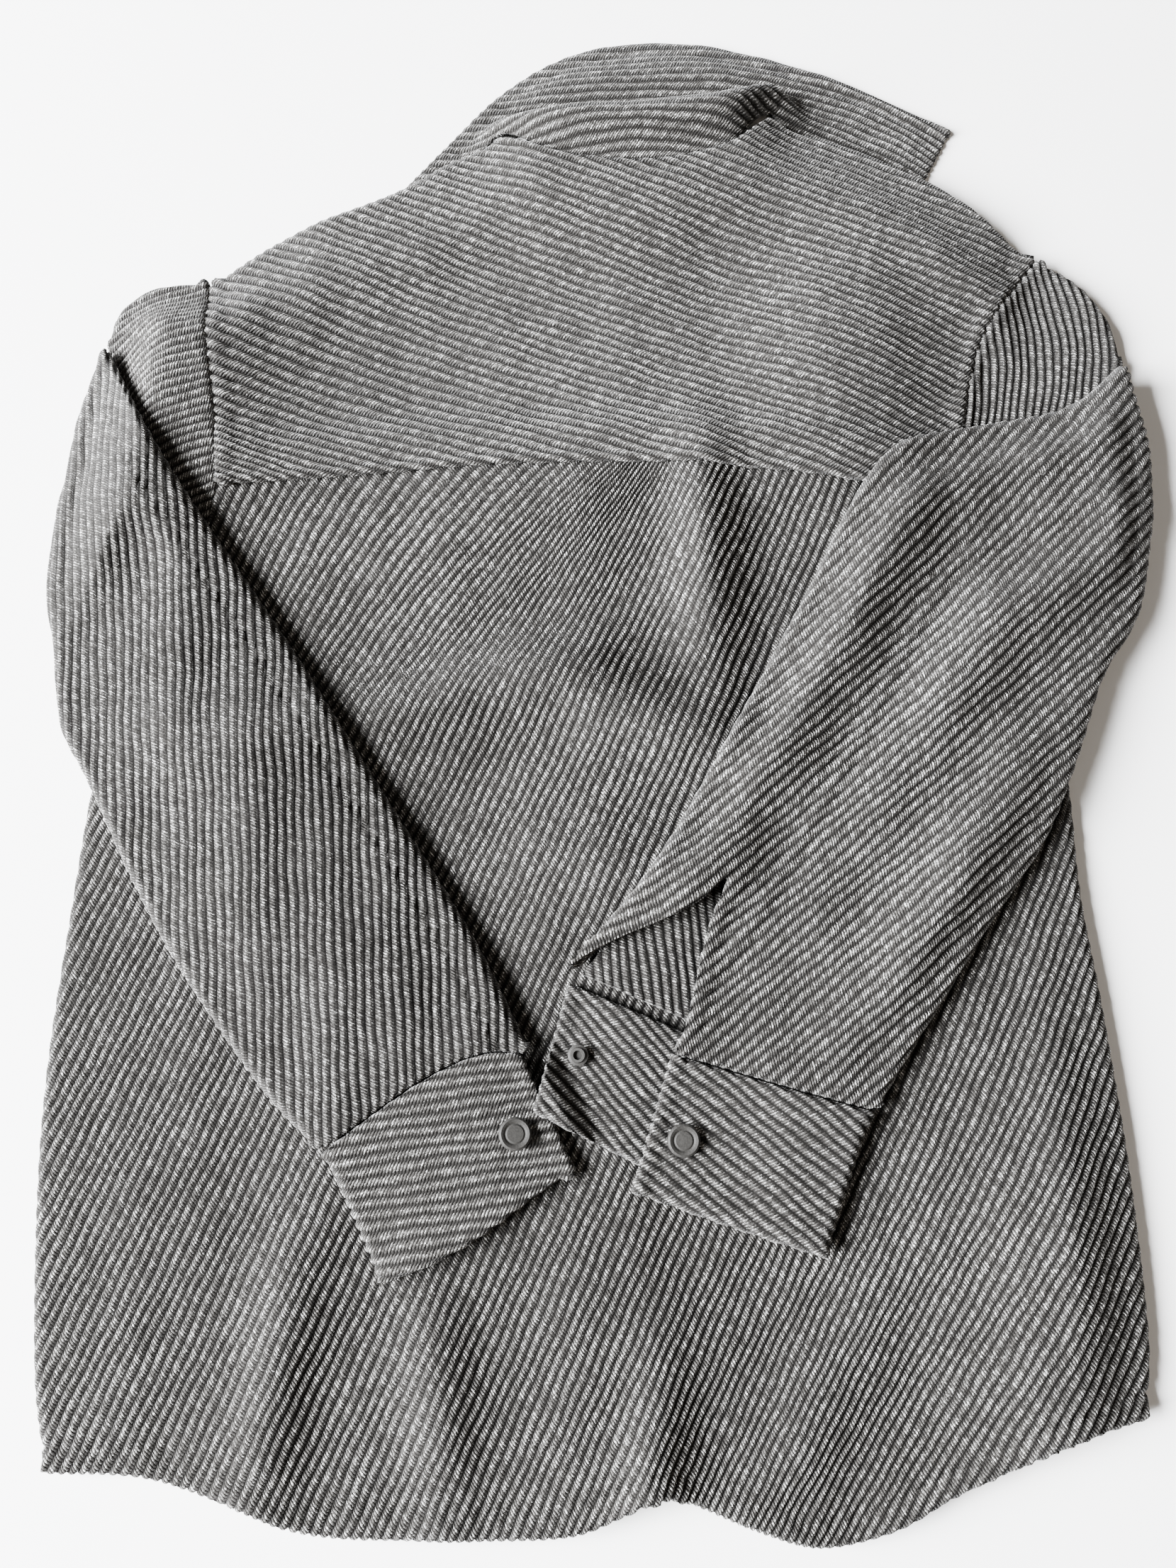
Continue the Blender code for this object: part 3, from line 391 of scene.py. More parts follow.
def wall(shell, panel, ribs, marks=(), hidden=False, mirror=None):
    """Panel as a closed wall, ribbed outside and plain inside. Marks are (line, distance, rise,
    width): strips raised or pressed in beside a seam. A mirrored panel has its outside below."""
    if hidden:
        a, b = lattice(panel, ribs, HIDDEN_STEP, HIDDEN_STEP, 1, 0.0)
    else:
        a, b = lattice(panel, ribs, ribs.pitch / RIB_STEPS, 0.0055, 4, 0.001)
    a, b, outer = joined_triangles(ribs, panel, a, b, 1.5 if hidden else 4.0)
    spots, turn, normals, _ = panel.surface(ribs.to_flat(a, b))
    rise = np.zeros(len(a)) if hidden else rib_height(a / ribs.pitch, turn)
    for line, distance, high, width in marks:
        away = nearest(spots[:, :2], line)[0]
        rise = rise + high * np.exp(-((away - distance) / width) ** 2)
    top = spots + normals * rise[:, None]

    step = HIDDEN_STEP if hidden else 0.0045
    c, d = lattice(panel, ribs, step, step * 2, 4, 0.001)
    c, d, inner = joined_triangles(ribs, panel, c, d, 2.0)
    low, low_turn, low_normals, number = panel.surface(ribs.to_flat(c, d))
    thin = smooth((panel.roll[number] - 0.0022) / 0.001)
    base = low - low_normals * (WALL * np.where(low_turn > 0.02, thin, 1.0))[:, None]
    if mirror is not None:
        top[:, 2], base[:, 2] = mirror - top[:, 2], mirror - base[:, 2]
    top[:, 2], base[:, 2] = np.maximum(top[:, 2], 0.0002), np.maximum(base[:, 2], 0.0001)

    layer = shell.loops.layers.uv.get("ribs") or shell.loops.layers.uv.new("ribs")
    uv = np.column_stack([a, b]) / ribs.pitch
    corners = add_faces(shell, layer, top, outer, uv, mirror is not None)
    inner_uv = np.column_stack([c, d]) / ribs.pitch
    under = add_faces(shell, layer, base, inner, inner_uv, mirror is None)
    close_rim(shell, layer, corners, outer, under, inner, uv, mirror is not None)


def add_faces(shell, layer, spots, faces, uv, flipped):
    corners = [shell.verts.new((x - CENTRE[0], y - CENTRE[1], z)) for x, y, z in spots]
    for face in faces:
        order = face[::-1] if flipped else face
        made = shell.faces.new([corners[k] for k in order])
        for loop, k in zip(made.loops, order):
            loop[layer].uv = uv[k]
    return corners


def edge_ring(faces):
    """Numbers of the points along the open edge, in order."""
    open_edges = {}
    for face in faces:
        for k, m in zip(face, face[1:] + face[:1]):
            if (m, k) in open_edges:
                del open_edges[(m, k)]
            else:
                open_edges[(k, m)] = True
    follow = dict(open_edges.keys())
    start = min(follow)
    order = [start]
    while follow[order[-1]] != start:
        order.append(follow[order[-1]])
    return order


def close_rim(shell, layer, corners, outer, under, inner, uv, flipped):
    """Strip between the outer and the inner skin round the cut's edge."""
    first, second = edge_ring(outer), edge_ring(inner)
    if len(first) != len(second):
        raise RuntimeError("edges of %d and %d points" % (len(first), len(second)))
    for k in range(len(first)):
        m = (k + 1) % len(first)
        quad = [corners[first[m]], corners[first[k]], under[second[k]], under[second[m]]]
        numbers = (first[m], first[k], first[k], first[m])
        made = shell.faces.new(quad[::-1] if flipped else quad)
        for loop, number in zip(made.loops, numbers[::-1] if flipped else numbers):
            loop[layer].uv = uv[number]


def cloth(name, shell, node, look=OUTER_TWILL):
    """The walls in the shell as one piece, in place of its CAD solid."""
    bmesh.ops.remove_doubles(shell, verts=shell.verts, dist=0.00002)
    mesh = bpy.data.meshes.new(name)
    shell.to_mesh(mesh)
    shell.free()
    mesh.shade_smooth()
    made = bpy.data.objects.new(name, mesh)
    bpy.context.collection.objects.link(made)
    mesh.materials.append(look)
    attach(made, "root")
    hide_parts(node)
    return made


def lower_layer(edges, margin, height):
    """Panel of a tube's layer below, kept a margin inside the outline above it."""
    whole = Panel([(points, 0.0, 0.0) for points in edges], height)
    moved = whole.ring - whole.out * margin
    clear = nearest(moved, whole.ring)[0] > margin * 0.94
    return Panel([(moved[clear][::5], 0.0, 0.0)], height)


SIDE_LEFT = [(-0.2605, -0.375), (-0.2695, -0.330), (-0.2755, -0.246), (-0.2755, -0.180),
             (-0.2700, -0.105), (-0.2645, -0.042), (-0.256, 0.015), (-0.243, 0.068)]
SIDE_RIGHT = [(0.2700, -0.351), (0.2745, -0.312), (0.2715, -0.231), (0.2645, -0.153),
              (0.2580, -0.096), (0.2560, -0.035), (0.2475, 0.025), (0.236, 0.066)]
HEM = [(-0.2605, -0.375), (-0.213, -0.377), (-0.168, -0.390), (-0.131, -0.402), (-0.077, -0.404),
       (-0.010, -0.402), (0.024, -0.389), (0.045, -0.387), (0.078, -0.399), (0.110, -0.407),
       (0.145, -0.400), (0.179, -0.383), (0.233, -0.361), (0.270, -0.351)]
YOKE_SEAM = [(-0.202, 0.124), (-0.128, 0.132), (-0.051, 0.138), (0.028, 0.139), (0.105, 0.134),
             (0.150, 0.128), (0.203, 0.121)]
ARMHOLE_LEFT_LOW = [(-0.243, 0.068), (-0.212, 0.090), (-0.202, 0.124)]
ARMHOLE_LEFT_HIGH = [(-0.202, 0.124), (-0.205, 0.165), (-0.213, 0.215), (-0.219, 0.257)]
ARMHOLE_RIGHT_LOW = [(0.236, 0.066), (0.212, 0.090), (0.203, 0.121)]
ARMHOLE_RIGHT_HIGH = [(0.203, 0.121), (0.210, 0.165), (0.225, 0.222), (0.259, 0.271)]
SHOULDER_LEFT = [(-0.219, 0.257), (-0.176, 0.288), (-0.115, 0.315), (-0.079, 0.337),
                 (-0.049, 0.349)]
SHOULDER_RIGHT = [(0.107, 0.361), (0.162, 0.342), (0.216, 0.312), (0.259, 0.271)]
NECK_SEAM = [(-0.049, 0.349), (-0.028, 0.338), (-0.004, 0.332), (0.029, 0.329), (0.060, 0.333),
             (0.085, 0.342), (0.107, 0.361)]
FRONT_INSET = 0.0056
ARMHOLE_INSET = 0.0012
PLACKET_STITCH = 0.036
FRONT_LAP = 0.018
SNAP_ROOM = 0.0022
LAP_ROOM = 0.0036
COLLAR_ROOM = 0.0035
MIRROR = 0.020
CENTRE_FRONT = curve([(0.004, -0.392), (0.014, -0.060), (0.028, 0.268)])
LEFT_NECK = [(0.028, 0.270), (-0.020, 0.290), (-0.049, 0.330)]
RIGHT_NECK = [(0.028, 0.270), (0.076, 0.292), (0.103, 0.338)]
shoulder_line = np.vstack([curve(SHOULDER_LEFT), curve(NECK_SEAM), curve(SHOULDER_RIGHT)])


def inset(points, distance):
    """A line moved to its left."""
    line = curve(points)
    step = np.gradient(line, axis=0)
    step /= np.linalg.norm(step, axis=1)[:, None]
    moved = line + np.stack([-step[:, 1], step[:, 0]], axis=1) * distance
    return list(moved[::12]) + [moved[-1]]


def collar_bed(x, y):
    """Rise of the body's lowest layer where the collar lies beneath it."""
    near_neck = nearest(np.column_stack([x, y]), shoulder_line)[0]
    return (COLLAR_ROOM * smooth((x + 0.180) / 0.030) * smooth((0.252 - x) / 0.025)
            * (1 - smooth((near_neck - 0.040) / 0.040)))


def front_height(side):
    """Outer side of a front in the mirror: it climbs over its snaps and over the other front."""
    def height(x, y):
        centre = np.interp(y, CENTRE_FRONT[:, 1], CENTRE_FRONT[:, 0])
        lap = 1 - smooth((np.abs(x - centre) - FRONT_LAP - 0.003) / 0.017)
        return MIRROR - collar_bed(x, y) - lap * (SNAP_ROOM + (LAP_ROOM if side < 0 else 0.0))
    return height


def even(points, gap=0.006):
    """The points of a polygon, set again at even gaps along its sides."""
    line = np.array(points, float)
    length = np.concatenate([[0], np.cumsum(np.linalg.norm(np.diff(line, axis=0), axis=1))])
    stops = np.linspace(0, length[-1], int(length[-1] / gap) + 1)
    return np.stack([np.interp(stops, length, line[:, k]) for k in range(2)], axis=1)


FRONT_SHOULDER_LEFT = [(-0.214, 0.250), (-0.176, 0.279), (-0.115, 0.306), (-0.079, 0.327),
                       (-0.052, 0.338)]
FRONT_SHOULDER_RIGHT = [(0.106, 0.350), (0.162, 0.331), (0.214, 0.302), (0.252, 0.268)]
lap_left = CENTRE_FRONT[::20] + (FRONT_LAP, 0.0)
lap_right = CENTRE_FRONT[::20] - (FRONT_LAP, 0.0)
hem_left = [(x, y + 0.009) for x, y in HEM if x < 0.0]
hem_right = [(x, y + 0.009) for x, y in HEM if x > 0.0]
left_ring = np.vstack([inset(SIDE_LEFT[::-1], FRONT_INSET)[2:-2], np.array(hem_left)[1:], lap_left,
                       LEFT_NECK[1:-1], FRONT_SHOULDER_LEFT[::-1],
                       inset(ARMHOLE_LEFT_HIGH[::-1], ARMHOLE_INSET)[2:-2],
                       inset(ARMHOLE_LEFT_LOW[::-1], ARMHOLE_INSET)[2:-2]])
right_ring = np.vstack([inset(SIDE_RIGHT, FRONT_INSET)[2:-2],
                        inset(ARMHOLE_RIGHT_LOW, ARMHOLE_INSET)[2:-2],
                        inset(ARMHOLE_RIGHT_HIGH, ARMHOLE_INSET)[2:-2], FRONT_SHOULDER_RIGHT[::-1],
                        RIGHT_NECK[::-1][1:-1], lap_right[::-1], np.array(hem_right)[:-1]])
for name, ring, side in (("front_left_cloth", left_ring, -1), ("front_right_cloth", right_ring, 1)):
    front = bmesh.new()
    panel = Panel([(even(ring), 0.0, 0.0)], front_height(side))
    placket = CENTRE_FRONT - (side * FRONT_LAP, 0.0)
    front_marks = [(placket, PLACKET_STITCH, -0.0010, 0.0012), (placket, 0.003, -0.0008, 0.0010)]
    wall(front, panel, Ribs(67), front_marks, mirror=MIRROR)
    made = cloth(name, front, name[:-6])

# Back
# One wide panel of twill from the yoke down to a turned-up hem, its side edges rolled round to
# the side seams. It drapes over the fronts in soft swells and one fold that lifts the hem.
LAYER_TOP = 0.0096
EDGE_FADE = 0.042
YOKE_LAP = 0.013
FOLDS = [
    # x, y, half length, half width, height, direction in degrees
    (-0.060, 0.126, 0.170, 0.052, 0.0120, 4),
    (0.029, 0.345, 0.095, 0.050, 0.0130, 0),
    (-0.243, 0.195, 0.100, 0.076, 0.0235, 82),
    (0.142, 0.205, 0.115, 0.058, 0.0160, 82),
    (0.215, 0.262, 0.040, 0.014, 0.0035, -35),
    (0.064, 0.088, 0.075, 0.020, 0.0120, 93),
    (-0.140, -0.005, 0.070, 0.022, 0.0080, 5),
    (-0.040, 0.018, 0.060, 0.020, 0.0100, 12),
    (0.030, -0.002, 0.060, 0.020, 0.0100, -18),
    (0.014, -0.082, 0.060, 0.022, 0.0060, -5),
    (0.014, -0.060, 0.900, 0.046, 0.0037, 88),
    (-0.150, -0.330, 0.080, 0.018, 0.0060, 80),
    (-0.070, -0.345, 0.050, 0.018, 0.0060, 97),
    (0.030, -0.385, 0.055, 0.016, 0.0085, 82),
    (0.245, -0.285, 0.110, 0.065, 0.0130, 75),
    (0.110, -0.350, 0.060, 0.022, 0.0050, 60),
    (-0.150, -0.120, 0.150, 0.040, 0.0030, -62),
]
SLEEVE_IN_LEFT = {"upper": [(-0.219, 0.257), (-0.250, 0.254), (-0.269, 0.238), (-0.2735, 0.213)],
                  "lower": [(-0.243, 0.068), (-0.264, 0.045), (-0.2835, 0.020)],
                  "crease": [(-0.2735, 0.213), (-0.279, 0.147), (-0.2855, 0.080), (-0.2835, 0.020)]}
SLEEVE_IN_RIGHT = {"upper": [(0.259, 0.271), (0.276, 0.262), (0.290, 0.248), (0.300, 0.228),
                             (0.303, 0.202)],
                   "lower": [(0.236, 0.066), (0.253, 0.043), (0.272, 0.015)],
                   "crease": [(0.303, 0.202), (0.303, 0.130), (0.292, 0.064), (0.272, 0.015)]}

left_low = np.vstack([curve(SIDE_LEFT), curve(SLEEVE_IN_LEFT["lower"]),
                      curve(SLEEVE_IN_LEFT["crease"])[::-1],
                      curve(SLEEVE_IN_LEFT["upper"])[::-1], curve(SHOULDER_LEFT)])
right_low = np.vstack([curve(SHOULDER_RIGHT), curve(SLEEVE_IN_RIGHT["upper"]),
                       curve(SLEEVE_IN_RIGHT["crease"]), curve(SLEEVE_IN_RIGHT["lower"])[::-1],
                       curve(SIDE_RIGHT)[::-1]])
low_edge = np.vstack([left_low, right_low])
body_ring = np.vstack([left_low, curve(NECK_SEAM), right_low, curve(HEM)[::-1]])[::4]
seam_line = curve(YOKE_SEAM)


def ripples(x, y):
    """Low unevenness of handled cloth."""
    return (0.00045 * np.sin(63 * x + 31 * y + 1.0) * np.sin(47 * y - 20 * x)
            + 0.00030 * np.sin(118 * x - 75 * y + 2.0) * np.sin(90 * y + 55 * x + 0.7))


def draped(x, y):
    """Outer surface of the body's upper layer, as draped over what lies beneath."""
    height = LAYER_TOP + collar_bed(x, y)
    spots = np.column_stack([x, y])
    fade = smooth(nearest(spots, low_edge[::2])[0] / EDGE_FADE) * inside(spots, body_ring)
    height = height + fade * ripples(x, y)
    for fold_x, fold_y, length, width, rise, direction in FOLDS:
        angle = radians(direction)
        along = (x - fold_x) * cos(angle) + (y - fold_y) * sin(angle)
        across = (y - fold_y) * cos(angle) - (x - fold_x) * sin(angle)
        height = height + fade * rise * np.exp(-(along / length) ** 2 - (across / width) ** 2)
    return height


BODY_STEP = 0.0025
body_height = Terrain(draped, low_edge, BODY_STEP)
SIDE_CUT = 0.0010
lap_line = [(x, y + YOKE_LAP) for x, y in YOKE_SEAM]
back_panel = Panel([
    (HEM, LAP_ROLL, pi),
    (SIDE_RIGHT, EDGE_ROLL, pi),
    (ARMHOLE_RIGHT_LOW, SIDE_CUT, pi / 2),
    (curve([(0.203, 0.121), (0.203, 0.134)])[::4], 0.0, 0.0),
    (lap_line[::-1], 0.0, 0.0),
    (curve([(-0.202, 0.137), (-0.202, 0.124)])[::4], 0.0, 0.0),
    (ARMHOLE_LEFT_LOW[::-1], SIDE_CUT, pi / 2),
    (SIDE_LEFT[::-1], EDGE_ROLL, pi),
], body_height)
HEM_STITCH = 0.0115
back_marks = [(curve(HEM), HEM_STITCH, -0.0012, 0.0012), (curve(HEM), 0.005, 0.0007, 0.004),
              (curve(ARMHOLE_RIGHT_LOW), 0.003, 0.0010, 0.003),
              (curve(ARMHOLE_LEFT_LOW), 0.003, 0.0008, 0.003)]
back_ribs = Ribs(66, [(0.00, 0.11, 0.03, -0.34, 0.07), (-0.10, -0.34, -0.03, -0.16, 0.12)], 0.0047)
shell = bmesh.new()
wall(shell, back_panel, back_ribs, back_marks)
back = cloth("back_cloth", shell, "back")

# Back yoke
# A second panel across the shoulders, its thick lower edge lapped over the back and stitched,
# its upper edge rolled over the shoulders and sewn to the collar at the neck.
YOKE_LIFT = 0.0040
NECK_HEIGHT = 0.0235
neck_line = curve(NECK_SEAM)


def yoke_draped(x, y):
    above = y - np.interp(x, seam_line[:, 0], seam_line[:, 1])
    lift = YOKE_LIFT * (1 - smooth((above - YOKE_LAP - 0.006) / 0.022))
    near = 1 - smooth(nearest(np.column_stack([x, y]), neck_line)[0] / 0.055)
    near = near * smooth((x + 0.070) / 0.045) * smooth((0.130 - x) / 0.045)
    return (body_height(x, y) + lift) * (1 - near) + near * NECK_HEIGHT


yoke_edge = np.vstack([seam_line, shoulder_line, ARMHOLE_LEFT_HIGH, ARMHOLE_RIGHT_HIGH])
yoke_height = Terrain(yoke_draped, yoke_edge, BODY_STEP)
yoke_panel = Panel([
    (YOKE_SEAM, LAP_ROLL, pi),
    (ARMHOLE_RIGHT_HIGH, SIDE_CUT, pi / 2),
    (SHOULDER_RIGHT[::-1], EDGE_ROLL, pi),
    (NECK_SEAM[::-1], SIDE_CUT, pi / 2),
    (SHOULDER_LEFT[::-1], EDGE_ROLL, pi),
    (ARMHOLE_LEFT_HIGH[::-1], SIDE_CUT, pi / 2),
], yoke_height, 4)
yoke_marks = [(seam_line, 0.0065, -0.0011, 0.0011), (seam_line, 0.003, 0.0009, 0.003),
              (curve(ARMHOLE_LEFT_HIGH), 0.0105, -0.0012, 0.0012),
              (curve(ARMHOLE_LEFT_HIGH), 0.005, 0.0008, 0.004),
              (curve(ARMHOLE_RIGHT_HIGH), 0.0030, 0.0016, 0.0028),
              (curve(ARMHOLE_RIGHT_HIGH), 0.0078, -0.0010, 0.0012),
              (neck_line, 0.0055, -0.0009, 0.0011)]
yoke_ribs = Ribs(-22, [(0.10, 0.14, 0.03, -0.12, 0.10), (-0.02, 0.10, -0.03, 0.10, 0.06)], 0.0050)
shell = bmesh.new()
wall(shell, yoke_panel, yoke_ribs, yoke_marks)
yoke = cloth("yoke_cloth", shell, "back_yoke")

# Collar
# A stand-and-fall collar left open: it rises from the neck seam in a soft roll and falls to the
# table beyond it, with one row of stitching along its outer edge.
COLLAR_INNER = [(-0.120, 0.292), (-0.085, 0.316), (-0.056, 0.352), (-0.028, 0.3400),
                (-0.004, 0.3335), (0.029, 0.3303), (0.060, 0.3345), (0.085, 0.3437),
                (0.111, 0.366), (0.140, 0.334), (0.190, 0.310)]
COLLAR_OUTER = [(-0.127, 0.298), (-0.110, 0.322), (-0.075, 0.364), (-0.052, 0.389), (-0.024, 0.409),
                (0.005, 0.420), (0.045, 0.425), (0.100, 0.416), (0.156, 0.396), (0.192, 0.377),
                (0.218, 0.364)]
COLLAR_CREST = 0.034
COLLAR_TUCK = 0.0030


def reader(points):
    """Place on a line of points by its share of length, carried on straight past its ends."""
    line = curve(points)
    stops = np.linspace(0, 1, len(line))
    first = (line[3] - line[0]) / (stops[3] - stops[0])
    last = (line[-1] - line[-4]) / (stops[-1] - stops[-4])

    def at(share):
        share = np.asarray(share, float)
        held = np.clip(share, 0, 1)
        spot = np.stack([np.interp(held, stops, line[:, k]) for k in range(2)], axis=-1)
        over, below = np.maximum(share - 1, 0)[..., None], np.minimum(share, 0)[..., None]
        return spot + over * last + below * first
    return at


def read_back(at, spots):
    """The two shares of a patch at each of its spots."""
    starts = np.linspace(0, 1, 25)
    u, v = [grid.ravel() for grid in np.meshgrid(starts, starts, indexing="ij")]
    number = nearest(spots, at(u, v))[1]
    u, v = u[number], v[number]
    step = 0.002
    for _ in range(8):
        off = spots - at(u, v)
        du = (at(u + step, v) - at(u - step, v)) / (2 * step)
        dv = (at(u, v + step) - at(u, v - step)) / (2 * step)
        size = du[:, 0] * dv[:, 1] - du[:, 1] * dv[:, 0]
        size = np.where(np.abs(size) < 1e-6, 1e-6, size)
        next_u = (off[:, 0] * dv[:, 1] - off[:, 1] * dv[:, 0]) / size
        next_v = (du[:, 0] * off[:, 1] - du[:, 1] * off[:, 0]) / size
        u = np.clip(u + np.clip(next_u, -0.1, 0.1), -0.2, 1.2)
        v = np.clip(v + np.clip(next_v, -0.1, 0.1), -0.2, 1.2)
    return u, v


collar_in, collar_out = reader(COLLAR_INNER), reader(COLLAR_OUTER)


def collar_patch(u, v):
    return collar_in(u) * (1 - v)[:, None] + collar_out(u) * v[:, None]


def collar_draped(x, y):
    u, v = read_back(collar_patch, np.column_stack([x, y]))
    low = collar_in(u)
    seam = yoke_height(low[:, 0], low[:, 1]) - COLLAR_TUCK - WALL
    seam = seam * smooth((low[:, 0] + 0.074) / 0.026) * smooth((0.135 - low[:, 0]) / 0.030)
    hump = smooth((low[:, 0] + 0.060) / 0.060) * smooth((0.135 - low[:, 0]) / 0.055)
    rise = seam + hump * (COLLAR_CREST - NECK_HEIGHT + COLLAR_TUCK) * smooth(v / 0.26)
    swell = 0.004 * np.exp(-((v - 0.74) / 0.14) ** 2) * hump
    return WALL + rise * (1 - smooth((v - 0.27) / 0.30)) + swell + ripples(x, y) * smooth(v / 0.5)


collar_height = Terrain(collar_draped, COLLAR_INNER + COLLAR_OUTER)
collar_panel = Panel([
    (COLLAR_INNER, 0.0, 0.0),
    ([(0.190, 0.310), (0.204, 0.337), (0.218, 0.364)], LAP_ROLL, pi),
    (COLLAR_OUTER[::-1], LAP_ROLL, pi),
    ([(-0.127, 0.298), (-0.1235, 0.295), (-0.120, 0.292)], 0.0, 0.0),
], collar_height)
collar_edge = curve(COLLAR_OUTER)
collar_marks = [(collar_edge, 0.008, -0.0011, 0.0011), (collar_edge, 0.004, 0.0006, 0.003)]
collar_ribs = Ribs(-16, [(0.08, 0.40, 0.03, -0.60, 0.20), (-0.02, 0.38, -0.03, 0.40, 0.20)], 0.0048)
shell = bmesh.new()
wall(shell, collar_panel, collar_ribs, collar_marks)
collar = cloth("collar_cloth", shell, "collar")

# Sleeves
# Each sleeve is a flat tube: it leaves the armhole, rolls over at the body's side and lies
# back over the body, ending at its cuff. The right one is slit above its unfastened cuff.
SLEEVE_OUT_LEFT = {"upper": [(-0.2735, 0.213), (-0.260, 0.188), (-0.221, 0.122), (-0.159, 0.032),
                             (-0.105, -0.051), (-0.060, -0.121), (-0.030, -0.179)],
                   "lower": [(-0.2835, 0.020), (-0.2775, -0.010), (-0.262, -0.037),
                             (-0.232, -0.094), (-0.205, -0.138), (-0.160, -0.197),
                             (-0.131, -0.225)],
                   "end": [(-0.030, -0.179), (-0.052, -0.178), (-0.084, -0.192), (-0.131, -0.225)]}
SLEEVE_OUT_RIGHT = {"upper": [(0.303, 0.202), (0.268, 0.174), (0.216, 0.161), (0.172, 0.148),
                              (0.148, 0.120), (0.120, 0.066), (0.085, 0.002), (0.040, -0.076),
                              (0.007, -0.118), (-0.013, -0.141)],
                    "lower": [(0.272, 0.015), (0.255, -0.030), (0.236, -0.070), (0.205, -0.113),
                              (0.166, -0.170), (0.142, -0.206)],
                    "end": [(-0.013, -0.141), (0.046, -0.166), (0.095, -0.187), (0.142, -0.206)]}
# Middle across, start along, width, length and height of the ridges in a sleeve's upper layer
RIDGES_LEFT = [(0.30, 0.10, 0.30, 0.22, 0.0040), (0.45, 0.45, 0.30, 0.35, 0.0030),
               (0.35, 0.85, 0.30, 0.20, 0.0015)]
RIDGES_RIGHT = [(0.13, 0.48, 0.12, 0.40, 0.0100), (0.50, 0.32, 0.12, 0.28, 0.0105),
                (0.83, 0.60, 0.14, 0.28, 0.0095), (0.30, 0.06, 0.26, 0.12, 0.0060)]
LAYER_CLEARANCE = 0.0012
LAYER_STEP = 0.0066
FOLD_ROLL = 0.0102
FOLD_END = 0.0015
LAYER_MARGIN = 0.0054
CORNER_SOFT = 7


def sleeve_patch(crease, out):
    """Patch of the folded sleeve, read by its shares along and across."""
    left, right = reader(out["upper"]), reader(out["lower"])
    bottom, top = reader(crease), reader(out["end"])

    def at(along, across):
        sides = (1 - across)[:, None] * left(along) + across[:, None] * right(along)
        ends = (1 - along)[:, None] * bottom(across) + along[:, None] * top(across)
        corners = (((1 - along) * (1 - across))[:, None] * bottom(0.0)
                   + ((1 - along) * across)[:, None] * bottom(1.0)
                   + (along * (1 - across))[:, None] * top(0.0)
                   + (along * across)[:, None] * top(1.0))
        return sides + ends - corners
    return at


def under_height(x, y):
    """Outer surface of a folded sleeve's lower layer, just clear of the body."""
    return body_height(x, y) + LAYER_CLEARANCE + WALL


def table_height(x, y):
    """Outer surface of a layer that lies on the table."""
    return WALL + 0.0 * x


def sleeve_height(at, ridges, corners):
    """Outer surface of a folded sleeve's upper layer over the body."""
    def height(x, y):
        along, across = read_back(at, np.column_stack([x, y]))
        edge = smooth(across / 0.16) * smooth((1 - across) / 0.16) * smooth(along / 0.06)
        rise = 0.0
        for middle, start, width, length, high in ridges:
            away = ((across - middle) / width) ** 2 + ((along - start) / length) ** 2
            rise = rise + high * np.exp(-away)
        over = smooth((y - np.interp(x, seam_line[:, 0], seam_line[:, 1]) + 0.030) / 0.040)
        yoke_lift = YOKE_LIFT * over * (1 - over) * 2
        return under_height(x, y) + yoke_lift + (rise + ripples(x, y)) * edge + LAYER_STEP
    return Terrain(height, corners)


def moved_out(points, reach):
    """A line moved to its right, by one reach or by one that changes along it."""
    line = curve(points)
    step = np.gradient(line, axis=0)
    step /= np.linalg.norm(step, axis=1)[:, None]
    reach = reach(np.linspace(0, 1, len(line))) if callable(reach) else np.full(len(line), reach)
    moved = line + np.stack([step[:, 1], -step[:, 0]], axis=1) * reach[:, None]
    return list(moved[::10]) + [moved[-1]]


def fold_ends(shares):
    return smooth(shares / 0.30) * smooth((1 - shares) / 0.30)


def fold_reach(shares):
    return FOLD_END + (FOLD_ROLL - FOLD_END) * fold_ends(shares)


def fold_roll(shares):
    return EDGE_ROLL + (FOLD_ROLL - EDGE_ROLL) * fold_ends(shares)


HALF_WALL = WALL / 2
TUCK_ROLL = 0.0010
left_at = sleeve_patch(SLEEVE_IN_LEFT["crease"], SLEEVE_OUT_LEFT)
left_height = sleeve_height(left_at, RIDGES_LEFT,
                            np.vstack([SLEEVE_OUT_LEFT["upper"], SLEEVE_OUT_LEFT["lower"]]))
left_folded = Panel([
    (moved_out(SLEEVE_IN_LEFT["crease"], fold_reach), fold_roll, pi),
    (moved_out(SLEEVE_OUT_LEFT["lower"], HALF_WALL), EDGE_ROLL, pi),
    (SLEEVE_OUT_LEFT["end"][::-1], TUCK_ROLL, pi / 2),
    (moved_out(SLEEVE_OUT_LEFT["upper"][::-1], HALF_WALL), EDGE_ROLL, pi),
], left_height, CORNER_SOFT)
left_cap = Panel([
    (ARMHOLE_LEFT_LOW, TUCK_ROLL, pi / 2),
    (ARMHOLE_LEFT_HIGH, TUCK_ROLL, pi / 2),
    (moved_out(SLEEVE_IN_LEFT["upper"], HALF_WALL), EDGE_ROLL, pi),
    (SLEEVE_IN_LEFT["crease"], 0.0, 0.0),
    (moved_out(SLEEVE_IN_LEFT["lower"][::-1], HALF_WALL), EDGE_ROLL, pi),
], body_height)
left_under = lower_layer([SLEEVE_IN_LEFT["crease"], SLEEVE_OUT_LEFT["lower"],
                          SLEEVE_OUT_LEFT["end"][::-1], SLEEVE_OUT_LEFT["upper"][::-1]],
                         LAYER_MARGIN, under_height)
